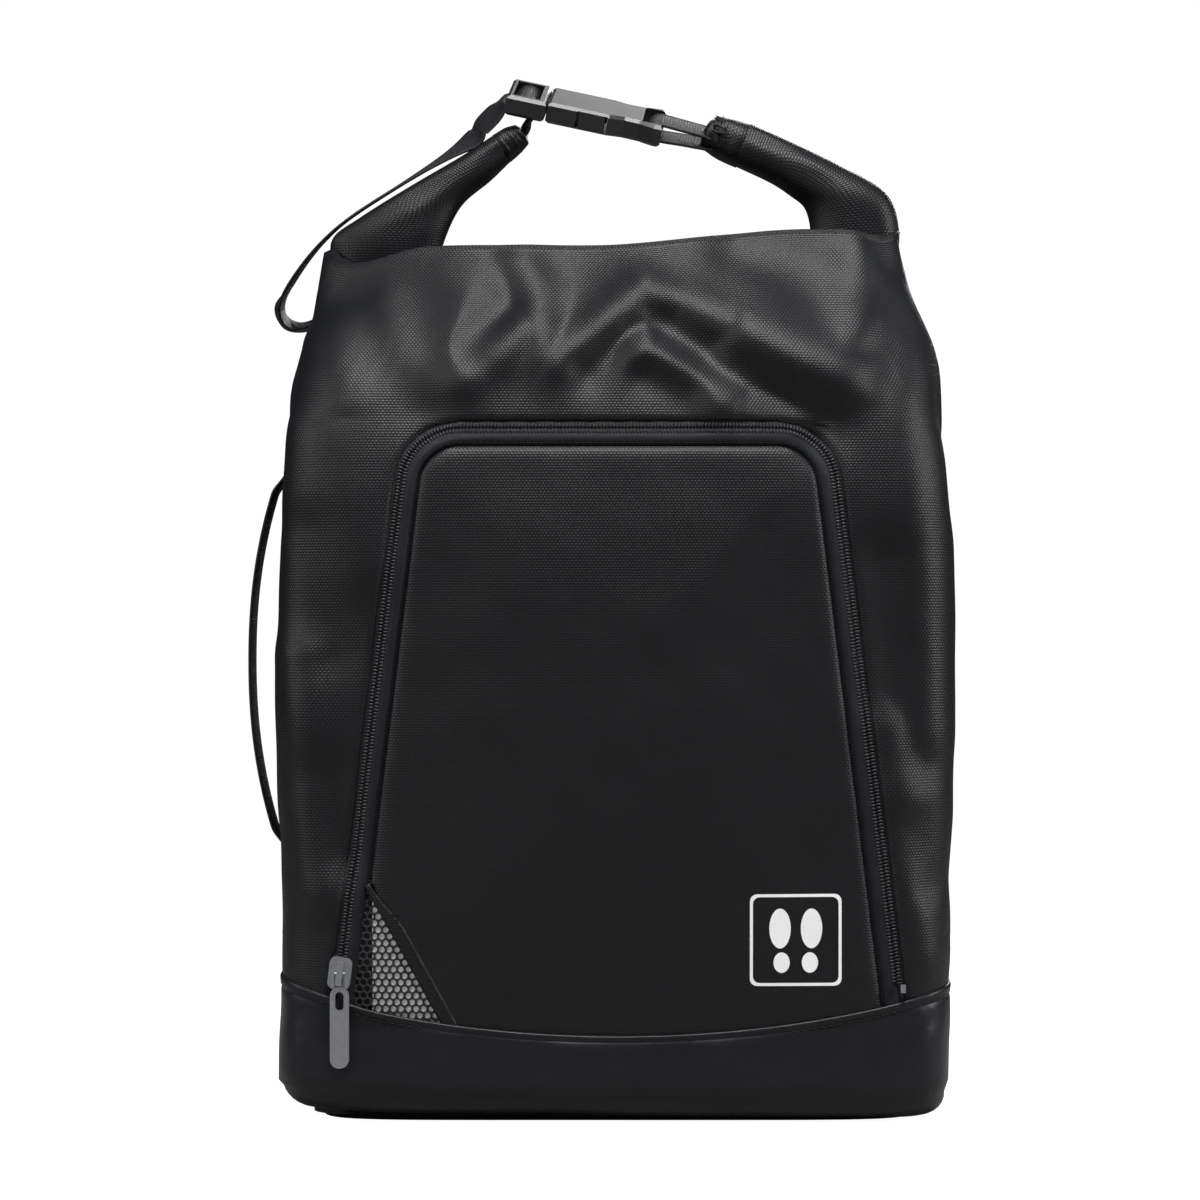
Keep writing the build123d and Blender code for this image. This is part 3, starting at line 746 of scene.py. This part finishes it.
def mesh_net():
    """Net of the vent: a honeycomb of strands with open holes."""
    pitch, hole = 2.9, 1.1
    cell = pitch / sqrt(3)
    verts, faces = [], []
    rise = pitch * sqrt(3) / 2
    for row in range(int(62 / rise) + 1):
        for column in range(24):
            x = -112 + pitch * (column + 0.5 * (row % 2))
            z = 34 + rise * row
            if past_vent(x, z) > 2.6 or -x > door_half(z, PANEL_INSET - 3) or z < seam_z(x) - 5:
                continue
            base = len(verts)
            for radius, lift in ((cell, -1.25), (0.86 * cell, -1.1), (hole, -1.35)):
                for corner in range(12):
                    turn = radians(30 * corner + 30)
                    reach = radius if radius == hole or corner % 2 == 0 else radius * cos(pi / 6)
                    verts.append((x + reach * cos(turn), z + reach * sin(turn), lift))
            for band in (0, 12):
                for corner in range(12):
                    after = (corner + 1) % 12
                    faces.append((base + band + corner, base + band + after,
                                  base + band + 12 + after, base + band + 12 + corner))
    flat = np.array(verts)
    points = on_front(flat[:, 0], flat[:, 1], flat[:, 2])
    net = add_mesh("vent_net", points, faces, MESH_YARN)
    return thicken(clean(net, 0.05), 0.45)


def vent_sheet(name, low_x, high_x, material):
    """Cloth seen through the net, lined on the inside."""
    z = np.linspace(36, 92, 40)[:, None]
    left = np.maximum(-door_half(z, PANEL_INSET - 3), low_x)
    past_hem = VENT_TOP[0] + (VENT_HEM + 0.4 - (z - VENT_TOP[1]) * VENT_OUT[1]) / VENT_OUT[0]
    right = np.minimum(past_hem, high_x)
    x = left + (right - left) * np.linspace(0, 1, 14)
    z = np.broadcast_to(z, x.shape)
    sheet = add_grid(name, on_front(x, z, VENT_DEPTH), [material, LINING], np.stack([x, z], -1))
    return thicken(sheet, 0.6, inner=1, rim=1)


def vent_hem():
    """Folded hem along the vent's long edge."""
    along = np.linspace(-3, np.linalg.norm(VENT_FOOT - VENT_TOP) + 4, 60)
    out = np.array([0.0, 0.15, 0.6, 1.4, 2.4, 3.4, 4.4, 5.1, 5.5, 5.6])
    lifts = np.array([-1.3, -0.2, 0.55, 0.85, 0.75, 0.8, 0.85, 0.75, 0.5, 0.15])
    reach = out[None, :] * (0.35 + 0.65 * smooth(-3, 20, along))[:, None]
    x, z = vent_point(along[:, None], reach)
    lift = lifts[None, :] - 1.6 * smooth(0, 2, seam_z(x) - z)
    hem = add_grid("vent_hem", on_front(x, z, lift), BODY_CLOTH, np.stack([x, z], -1), flip=True)
    return thicken(hem, 0.8)


def vent_stitches():
    """Two rows of stitches along the hem."""
    shapes = []
    along = np.linspace(6, np.linalg.norm(VENT_FOOT - VENT_TOP) - 6, 40)
    for offset in (1.2, VENT_HEM - 1.0):
        x, z = vent_point(along, offset)
        points = on_front(x, z, 0.85)
        shapes += stitch_row(points, normal_at(x, points[:, 1], z), 2.9, 2.0, 0.6, 0.4)
    return add_many("vent_stitches", shapes, THREAD)


def edge_stitches():
    """Stitches of the door's tape, in the groove beside the panel."""
    points = LINE + INWARD * GROOVE_INSET
    keep = points[:, 1] > seam_z(points[:, 0]) + 1
    x, z = points[keep].T
    surface = on_front(x, z, -0.8)
    shapes = stitch_row(surface, normal_at(x, surface[:, 1], z), 2.6, 1.8, 0.5, 0.4)
    return add_many("zip_stitches", shapes, THREAD)


# -------- printed badge
def rounded_square(half, corner):
    """Corner points of a rounded square."""
    count = 9
    points = []
    for quarter, (side_x, side_z) in enumerate([(1, 1), (-1, 1), (-1, -1), (1, -1)]):
        for step in range(count):
            turn = pi / 2 * (quarter + step / (count - 1))
            centre = np.array([side_x, side_z]) * (half - corner)
            points.append(centre + [corner * cos(turn), corner * sin(turn)])
    return np.array(points)


def printed(name, rings):
    """A thin print from rings of flat points, each ring joined to the next, around the badge's middle."""
    count = len(rings[0])
    flat = np.vstack(rings) + [BADGE_X, BADGE_Z]
    faces = grid_faces(len(rings), count, closed=True)
    points = on_front(flat[:, 0], flat[:, 1], door_lift(flat[:, 0], flat[:, 1]) + 0.12)
    return clean(add_mesh(name, points, faces, PRINT))


def dense(outline, spacing=1.2):
    """A closed outline with close points."""
    closed = np.vstack([outline, outline[:1]])
    return evenly(closed, spacing)[0][:-1]


def badge():
    """Rounded frame with a generic pair of soles."""
    outer = dense(rounded_square(BADGE_HALF, 2.6))
    shrink = (BADGE_HALF - 1.15) / BADGE_HALF
    parts = [printed("badge_frame", [outer, outer * (1 + shrink) / 2, outer * shrink])]
    turn = np.linspace(0, 2 * pi, 40, endpoint=False)
    for side in (-1, 1):
        fore = np.stack([4.1 * np.cos(turn), 7.6 * np.sin(turn)], 1) + [side * 6.0, 4.4]
        heel = np.stack([3.1 * np.cos(turn), 3.9 * np.sin(turn)], 1) + [side * 5.4, -8.6]
        for label, blob in (("fore", fore), ("heel", heel)):
            middle = blob.mean(0)
            rings = [middle + (blob - middle) * scale for scale in (1, 0.6, 0.3, 0.01)]
            parts.append(printed(f"badge_{label}_{'left' if side < 0 else 'right'}", rings))
    return parts


# -------- carry arch
# outer X and Z, inner X and Z, and half depth of each section of the rolled arms
LEFT_ARM = [(-113, 331, -73, 331, 9.5), (-113.5, 344, -69.5, 343, 11), (-102.5, 352.8, -65.5, 353, 11),
            (-82, 365.6, -60.5, 360, 10.5), (-62, 377.4, -51, 367.7, 9.5), (-50, 385.4, -42.8, 375.6, 8.5)]
RIGHT_ARM = [(111, 331, 76, 331, 9.5), (112.6, 348, 77.8, 346, 11), (107, 363, 75.5, 356.5, 11),
             (88, 374, 69.3, 361.8, 10.5), (69, 383, 61, 367, 9.5), (53, 390, 47, 373.4, 8.5)]
LEFT_CUFF = [(-50, 385.6, -42.6, 375.4, 8.7), (-45, 388.6, -38.6, 379.2, 8.8),
             (-41, 389.8, -35.6, 382.6, 8.0)]
RIGHT_CUFF = [(53.4, 390.2, 47.4, 373.2, 8.6), (44, 392.4, 39.6, 376.6, 8.6), (37.4, 391.6, 33.8, 380.4, 7.8)]


def rolled_tube(name, stations, seed, lap_height):
    """Cloth rolled round itself: a tube with a lapped edge, shallow lengthwise folds and a closed tip."""
    path = through(stations, 90)
    turn = np.linspace(0, 2 * pi, 73)
    rows, uvs = [], []
    run = 0.0
    for index, (outer_x, outer_z, inner_x, inner_z, depth) in enumerate(path):
        outer, inner = np.array([outer_x, 0, outer_z]), np.array([inner_x, 0, inner_z])
        across = (outer - inner) / 2
        middle = (outer + inner) / 2
        share = index / (len(path) - 1)
        swell = 1.01 + 0.02 * np.sin(3 * turn + 2.5 * share + seed) + 0.012 * np.sin(5 * turn - 3 * share)
        swell = swell + (turn / (2 * pi) - 0.5) * 0.04 * lap_height
        shape = np.abs(np.cos(turn)) ** 0.92 * np.sign(np.cos(turn))
        deep = np.abs(np.sin(turn)) ** 0.92 * np.sign(np.sin(turn))
        ripple = 0.35 * waves(share * 130 + 0 * turn, 30 * np.cos(turn), 30 * np.sin(turn), 34, seed)
        place = middle + across * (shape * swell)[:, None]
        place = place + np.outer(deep * (depth * swell + ripple), [0, 1, 0])
        rows.append(place)
        if index:
            run += np.linalg.norm(middle - last)
        last = middle
        girth = pi * (np.linalg.norm(across) + depth)
        uvs.append(np.stack([turn / (2 * pi) * girth, np.full_like(turn, run)], 1))
    tip = rows[-1]
    centre = tip.mean(0)
    onward = unit(centre - rows[-3].mean(0))
    for scale in (0.9, 0.7, 0.4, 0.02):
        rows.append(centre + (tip - centre) * scale + onward * 1.8 * (1 - scale ** 2))
        uvs.append(uvs[-1] + [0, 1.5])
    return add_grid(name, np.array(rows), BODY_CLOTH, np.array(uvs), flip=True)


def mouth_roll():
    """The bag's mouth rolled down on itself between the arms."""
    along = np.linspace(-112, 112, 120)
    turn = np.linspace(0, 2.6 * 2 * pi, 190)
    radius = 3.2 + 7.6 * turn / turn[-1]
    points = np.zeros((len(along), len(turn), 3))
    for index, x in enumerate(along):
        wobble = 0.35 * waves(x + 0 * turn, 20 * np.cos(turn), 20 * np.sin(turn), 40, 12)
        reach = radius + wobble
        points[index] = np.stack([0 * turn + x, -reach * np.sin(turn), ROLL_Z + reach * np.cos(turn)], 1)
    uvs = np.stack(np.meshgrid(np.cumsum(radius) * (turn[1] - turn[0]), along), -1)
    return thicken(add_grid("mouth_roll", points, [BODY_CLOTH, LINING], uvs), 0.9, inner=1)


# -------- webbing
def webbing(name, centre, across, width, start=0.0):
    """A woven band with cross ribs along a line of points; across is the direction of its width."""
    path, along = evenly(np.hstack([centre, np.broadcast_to(across, centre.shape)]), RIB_PITCH / 4)
    middle, side = path[:, :3], path[:, 3:]
    tangent = unit(np.gradient(middle, axis=0))
    side = unit(side - tangent * (side * tangent).sum(1)[:, None])
    face = np.cross(side, tangent)
    edges = np.array([-1, -0.985, -0.94, -0.86, -0.5, 0, 0.5, 0.86, 0.94, 0.985, 1]) * width / 2
    full = WEBBING_THICK / 2 * np.array([0.1, 0.6, 0.9, 0.72, 1, 1, 1, 0.72, 0.9, 0.6, 0.1])
    ribs = RIB_HEIGHT * (np.abs(np.sin(pi * (along + start) / RIB_PITCH)) - 0.6)
    height = full[None, :] + ribs[:, None] * (np.abs(edges) < width * 0.45)[None, :]
    top = middle[:, None] + side[:, None] * edges[None, :, None] + face[:, None] * height[..., None]
    under = middle[:, None] + side[:, None] * edges[None, ::-1, None] - face[:, None] * height[:, ::-1, None]
    loop = np.concatenate([top, under], 1)
    u = np.concatenate([edges, edges[::-1] + width])
    uvs = np.stack(np.broadcast_arrays(u[None, :], along[:, None]), -1)
    band = add_grid(name, loop, STRAP, uvs, closed=True)
    fill_ends(band)
    return band


def fill_ends(obj):
    """Closes the open ends of a band."""
    work = bmesh.new()
    work.from_mesh(obj.data)
    bmesh.ops.holes_fill(work, edges=[edge for edge in work.edges if edge.is_boundary], sides=60)
    bmesh.ops.recalc_face_normals(work, faces=work.faces)
    work.to_mesh(obj.data)
    work.free()


SLOPE, LEAN = radians(12), radians(24)
ALONG = np.array([cos(SLOPE), 0, -sin(SLOPE)])
TOP = np.array([sin(SLOPE) * cos(LEAN), -sin(LEAN), cos(SLOPE) * cos(LEAN)])
ACROSS = np.cross(TOP, ALONG)
BUCKLE_MIDDLE = np.array([-12.6, 0, 395])
BUCKLE_HALF = 31.5


def at_buckle(along, height):
    """A point given along and above the buckle's middle."""
    return BUCKLE_MIDDLE + ALONG * along + TOP * height


def tail():
    """The long free end: out of the lock, over its bar, down beside the left arm and behind the shoulder."""
    local = [(12.2, -4.4), (11.6, -1.5), (11.2, 1.5), (9.6, 2.7), (7.6, 3.1), (5.4, 2.6), (3.6, 0.8),
             (1.6, -1.6), (-1.6, -2.6)]
    start = [at_buckle(step - BUCKLE_HALF, height) for step, height in local]
    rest = [(-49.5, 1.5, 394.6), (-54.4, 3, 389.8), (-57.4, 3.5, 385.4), (-66, 4, 379.6), (-86, 6, 367.4),
            (-107, 8.5, 354.2), (-119, 12, 344.4), (-129, 17, 333), (-135.2, 22, 323), (-135.6, 28, 316.4),
            (-131, 35, 313.3), (-124, 42, 314.6), (-117, 47, 318.5)]
    path = through(start + [np.array(point, float) for point in rest], 260)
    share = np.linspace(0, 1, len(path))[:, None]
    edge_on = unit(path - EYE)
    turned = unit(edge_on + smooth(0.62, 0.95, share) * np.array([0.10, 0, -0.16]))
    fade = smooth(0.53, 0.64, share)
    leaving = smooth(0.38, 0.42, share) * smooth(0.60, 0.50, share)
    across = unit(ACROSS * (1 - fade) + turned * fade + leaving * np.array([-0.2, 0, 0.2]))
    return webbing("strap_tail", path, across, WEBBING)


def left_loop():
    """The sewn end: out of the left cuff and up through the lock."""
    path = through([(-44, 1, 384.6), (-39, 1.5, 386.6), at_buckle(-22.5, -9.4), at_buckle(-20.4, -5.4),
                    at_buckle(-19.4, -3.2)], 60)
    return webbing("strap_left", path, ACROSS, WEBBING - 2)


def right_loop():
    """Out of the right cuff, round the housing's bar and back into the cuff."""
    local = [(54, 1.4), (49, 2.2), (42, 2.7), (35, 3.1), (30, 3.3), (27, 2.4), (25.6, 0), (27, -2.4),
             (31, -3.2), (40, -2.8), (47, -2.6), (54, -2.4)]
    path = through([at_buckle(step, height) for step, height in local], 130)
    return webbing("strap_right", path, ACROSS, WEBBING - 4)


def bartack():
    """Dense zigzag of thread across the right loop, with a few loose ends."""
    source = np.random.RandomState(14)
    middle = np.array([41, -6.3, 388.4])
    out = unit(np.array([0.1, -0.66, 0.75]))
    across = np.cross(out, ALONG)
    shapes = []
    for offset in np.linspace(-5.5, 5.5, 34):
        centre = middle + across * offset + ALONG * source.normal(0, 0.35) + out * 0.5
        way = ALONG + across * source.normal(0, 0.25)
        shapes.append(pill(centre, way, out, source.uniform(4.4, 6.6), 0.75, 0.9))
    for _ in range(26):
        centre = middle + across * source.uniform(-6, 6) + ALONG * source.normal(0, 1.8) + out
        shapes.append(pill(centre, source.normal(size=3) + ALONG, out, source.uniform(1.6, 3.4), 0.32, 0.32))
    return add_many("bartack", shapes, THREAD)


# -------- side grab handle
HANDLE_MIDDLE_Z = 176.0
HANDLE_HALF = 77.0            # half the length that stands free of the bag
HANDLE_BOW = 12.6
HANDLE_WIDTH = 22


def grab_line(z):
    """Middle line of the handle's webbing at a height."""
    away = np.abs(z - HANDLE_MIDDLE_Z)
    bow = HANDLE_BOW * (1 - np.minimum(away / HANDLE_HALF, 1) ** 2.2)
    surface = on_body(-half_width(z), 0 * z, z)[:, 0]
    sewn = smooth(66, 80, away)
    x = (-HALF_WIDTH - 0.9 - bow) * (1 - sewn) + (surface - 0.9) * sewn
    return np.stack([x, 0 * z, z], 1)


def grab_half(name, low, high):
    """One half of the handle, from its middle to its sewn end."""
    heights = np.linspace(low, high, 90)
    path = grab_line(heights)
    return webbing(name, path, (0, 1, 0), HANDLE_WIDTH, start=low - HANDLE_MIDDLE_Z)


def grab_stitches():
    """Box stitching on both sewn ends."""
    shapes = []
    for low, high in ((89, 99), (253, 263)):
        box = np.array([(-9, low), (9, low), (9, high), (-9, high), (-9, low), (9, high)], float)
        line, _ = evenly(box, 0.8)
        x = grab_line(line[:, 1])[:, 0] - 0.75
        points = np.stack([x, line[:, 0], line[:, 1]], 1)
        shapes += stitch_row(points, np.tile((-1.0, 0, 0), (len(points), 1)), 2.6, 2.0, 0.6, 0.5)
    return add_many("grab_stitches", shapes, THREAD)


# -------- inside
def divider():
    """Lining wall behind the shoes with the ceiling over them, soft instead of flat."""
    path = through([(0, 5.2, 6), (0, 5, 60), (0, 4.5, 150), (0, 5, 240), (0, 4, 268), (0, -2, 273.2),
                    (0, -25, 273.8), (0, -46, 272.8), (0, -52, 272.5)], 110)
    width, depth, power = section(path[:, 2])
    room = (1 - np.abs((np.abs(path[:, 1]) + 5) / depth) ** power) ** (1 / power)
    x = np.minimum(width * room - 5, 122)[:, None] * np.linspace(-1, 1, 90)
    points = np.zeros((*x.shape, 3))
    points[..., 0] = x
    points[..., 1:] = path[:, None, 1:]
    ripple = 1.6 * waves(*np.moveaxis(points, -1, 0), 80, 31) * smooth(6, 40, points[..., 2])
    points[..., 1] += ripple * smooth(275, 262, points[..., 2])
    points[..., 2] += ripple * 0.5 * smooth(262, 274, points[..., 2])
    uvs = np.stack(np.broadcast_arrays(x, lengths(path)[:, None]), -1)
    return thicken(add_grid("divider", points, LINING, uvs), 1.2, offset=0)


# -------- hardware from the frame
def finish_cad(node, material, round_mm):
    """Carries a CAD piece over with small rounded edges."""
    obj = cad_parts[node]
    obj.data.materials.clear()
    obj.data.materials.append(material)
    if round_mm:
        edges = obj.modifiers.new("rounding", "BEVEL")
        edges.width = round_mm * MM
        edges.segments = 3
        edges.limit_method = "ANGLE"
        edges.angle_limit = radians(35)
        edges.harden_normals = True


# -------- put together
def stands_for(nodes):
    """Hides the CAD nodes that a piece replaces."""
    if nodes:
        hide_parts(*nodes)


def rides(obj, body, slot, *nodes):
    """A piece that moves with one body."""
    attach(obj, body)
    stands_for(nodes)


def bends(obj, low_body, high_body, start, end, slot, *nodes):
    """Bakes a piece's placement into its mesh and hides the CAD nodes it replaces; start and end are in
    millimetres, and like the two bodies they are not used.
    """
    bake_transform(obj)
    stands_for(nodes)


def on_door(obj, slot, *nodes):
    """A piece of the door, handed to bends with two points on its hinge."""
    bends(obj, "bag", "door", (0, -62, 43), (0, -62, 62), slot, *nodes)


rides(body_cloth(), "bag", "body_fabric", "front_panel", "back_panel", "side_panel_left", "side_panel_right",
      "neck_panel")
rides(base_coat(), "bag", "coated_base", "base_band", "base_panel")
rides(band_stitches(), "bag", "coated_base")
on_door(door_cloth(), "body_fabric", "door_panel", "door_sill_strip")
rides(line_ribbon("zip_tape_outer", (-3.4, -1.5, 0, 1.4, 2.9), (-1.2, -1.2, -1.2, -1.0, -1.0)),
      "bag", "zip_tape", "zip_tape_body")
on_door(line_ribbon("zip_tape_inner", (3.0, 4.4, 5.2, 6.2, 7.2, 8.2, 9.0, 9.6, 11.4),
                    (-1.0, -0.75, -0.4, -0.2, -0.25, -0.6, -1.2, -2.1, -2.5)),
        "zip_tape", "zip_tape_door")
rides(zip_teeth("zip_teeth_outer", CHAIN_INSET - 1.05, 0), "bag", "zip_coil", "zip_coil_body")
on_door(zip_teeth("zip_teeth_inner", CHAIN_INSET + 1.05, 1), "zip_coil", "zip_coil_door")
on_door(edge_stitches(), "zip_tape")
on_door(mesh_net(), "mesh", "mesh_vent")
# painted shade: a dark sheet behind the net's left part stands in for the shade the zipper's seam allowances
# cast there
on_door(vent_sheet("vent_back_painted_shade", -110, -94, LINING), "lining")
on_door(vent_sheet("vent_back_pale", -94, -58, LIGHT_MESH_BACK), "lining")
on_door(vent_hem(), "body_fabric", "vent_binding")
on_door(vent_stitches(), "body_fabric")
for index, piece in enumerate(badge()):
    rides(piece, "door", "print", *(["badge_print"] if index == 0 else []))

for piece, node, stations, seed, lap_height in (
        ("left_arm", "arm_left", LEFT_ARM, 2, 0.7), ("right_arm", "arm_right", RIGHT_ARM, 5, 0.7),
        ("left_cuff", "cuff_left", LEFT_CUFF, 3, 0.3), ("right_cuff", "cuff_right", RIGHT_CUFF, 6, 0.3)):
    rides(rolled_tube(piece, stations, seed, lap_height), "arch", "body_fabric", node)
rides(mouth_roll(), "arch", "body_fabric", "rolled_mouth")
rides(bartack(), "arch", "webbing", "bartack_right")
rides(right_loop(), "arch", "webbing", "strap_right")
bends(left_loop(), "arch", "buckle_male", (-44, 0, 384.6), tuple(at_buckle(-21, -7)), "webbing", "strap_left")
long_tail = tail()
bends(long_tail, "buckle_male", "arch", (-52, 0, 394), (-78, 0, 374), "webbing", "strap_tail", "lock_webbing")

bends(grab_half("grab_lower", 87, HANDLE_MIDDLE_Z), "bag", "grab", (-133, 0, 100), (-142, 0, 132),
      "webbing", "grab_end_lower", "grab_handle")
bends(grab_half("grab_upper", 265, HANDLE_MIDDLE_Z), "bag", "grab", (-133, 0, 252), (-142, 0, 220),
      "webbing", "grab_end_upper")
rides(grab_stitches(), "bag", "webbing")
rides(divider(), "bag", "lining", "pocket_lining")

for node, material, round_mm, slot in (
        ("base_board", BOARD, 0, "board"), ("lip_stiffener", BOARD, 0, "board"),
        ("buckle_housing", BUCKLE, 0.9, "buckle"), ("lock_frame", BUCKLE, 0.8, "buckle"),
        ("prong_front", BUCKLE, 0.5, "buckle"), ("prong_back", BUCKLE, 0.5, "buckle"),
        ("slider_body", METAL, 0.4, "slider"), ("pull_tab", METAL, 0.35, "pull_metal"),
        ("zip_stop", METAL, 0.2, "zip_coil")):
    finish_cad(node, material, round_mm)


# -------- stage, light and camera
FLOOR_HALF = 650
FLOOR_GLOW = 0.96             # what the eye sees of the floor; other rays see only its grey
WORLD_LIGHT = 0.03            # what the white world adds to the light


def floor():
    """Pale floor that keeps a faint shadow under the bag."""
    material, tree, shader = new_material("floor", (0.3, 0.3, 0.3), 0.9)
    put(shader, Emission_Color=(1, 1, 1, 1))
    seen = tree.nodes.new("ShaderNodeLightPath").outputs["Is Camera Ray"]
    tree.links.new(maths(tree, "MULTIPLY", seen, FLOOR_GLOW), shader.inputs["Emission Strength"])
    tint(tree, shader, noise(tree, 2.0), (0.29, 0.29, 0.29), (0.31, 0.31, 0.31))
    corners = np.array([(-1, -1, 0), (1, -1, 0), (1, 1, 0), (-1, 1, 0)]) * FLOOR_HALF
    plane = add_mesh("floor", corners, [(0, 1, 2, 3)], material)
    plane.location.z = -0.2 * MM


def area_light(name, place, target, size, power):
    """A square softbox aimed at a point, in metres."""
    data = bpy.data.lights.new(name, "AREA")
    data.size = size
    data.energy = power
    light = bpy.data.objects.new(name, data)
    light.location = place
    light.rotation_euler = (Vector(target) - Vector(place)).to_track_quat("-Z", "Y").to_euler()
    bpy.context.scene.collection.objects.link(light)


def white_world():
    """White behind the bag, and a dimmer white for its light."""
    world = bpy.data.worlds.new("studio")
    world.use_nodes = True
    bpy.context.scene.world = world
    tree = world.node_tree
    background = next(node for node in tree.nodes if node.type == "BACKGROUND")
    put(background, Color=(1, 1, 1, 1))
    seen = tree.nodes.new("ShaderNodeLightPath").outputs["Is Camera Ray"]
    tree.links.new(maths(tree, "ADD", seen, WORLD_LIGHT), background.inputs["Strength"])


def camera():
    """Level view of the front."""
    data = bpy.data.cameras.new("camera")
    data.lens = 97.5
    data.sensor_width = 36
    data.clip_start = 0.05
    eye = bpy.data.objects.new("camera", data)
    eye.location = Vector(EYE) * MM
    eye.rotation_euler = (pi / 2, 0, 0)
    bpy.context.scene.collection.objects.link(eye)
    bpy.context.scene.camera = eye


floor()
white_world()
area_light("left_softbox", (-1.5, -0.45, 0.75), (0, 0, 0.22), 0.45, 8)
area_light("right_softbox", (1.6, -0.35, 0.7), (0, 0, 0.2), 0.45, 18)
area_light("top_softbox", (0.08, -0.62, 1.50), (0, 0, 0.28), 0.45, 28)
area_light("front_fill", (-1.3, -1.5, 1.3), (0, 0, 0.2), 0.6, 9)
area_light("back_softbox", (0.0, 1.1, 1.35), (0, 0, 0.36), 0.6, 1.3)
area_light("rear_fill", (0.5, 2.0, 1.1), (0, 0, 0.2), 0.8, 22)
camera()
bpy.context.scene.view_settings.view_transform = "Standard"
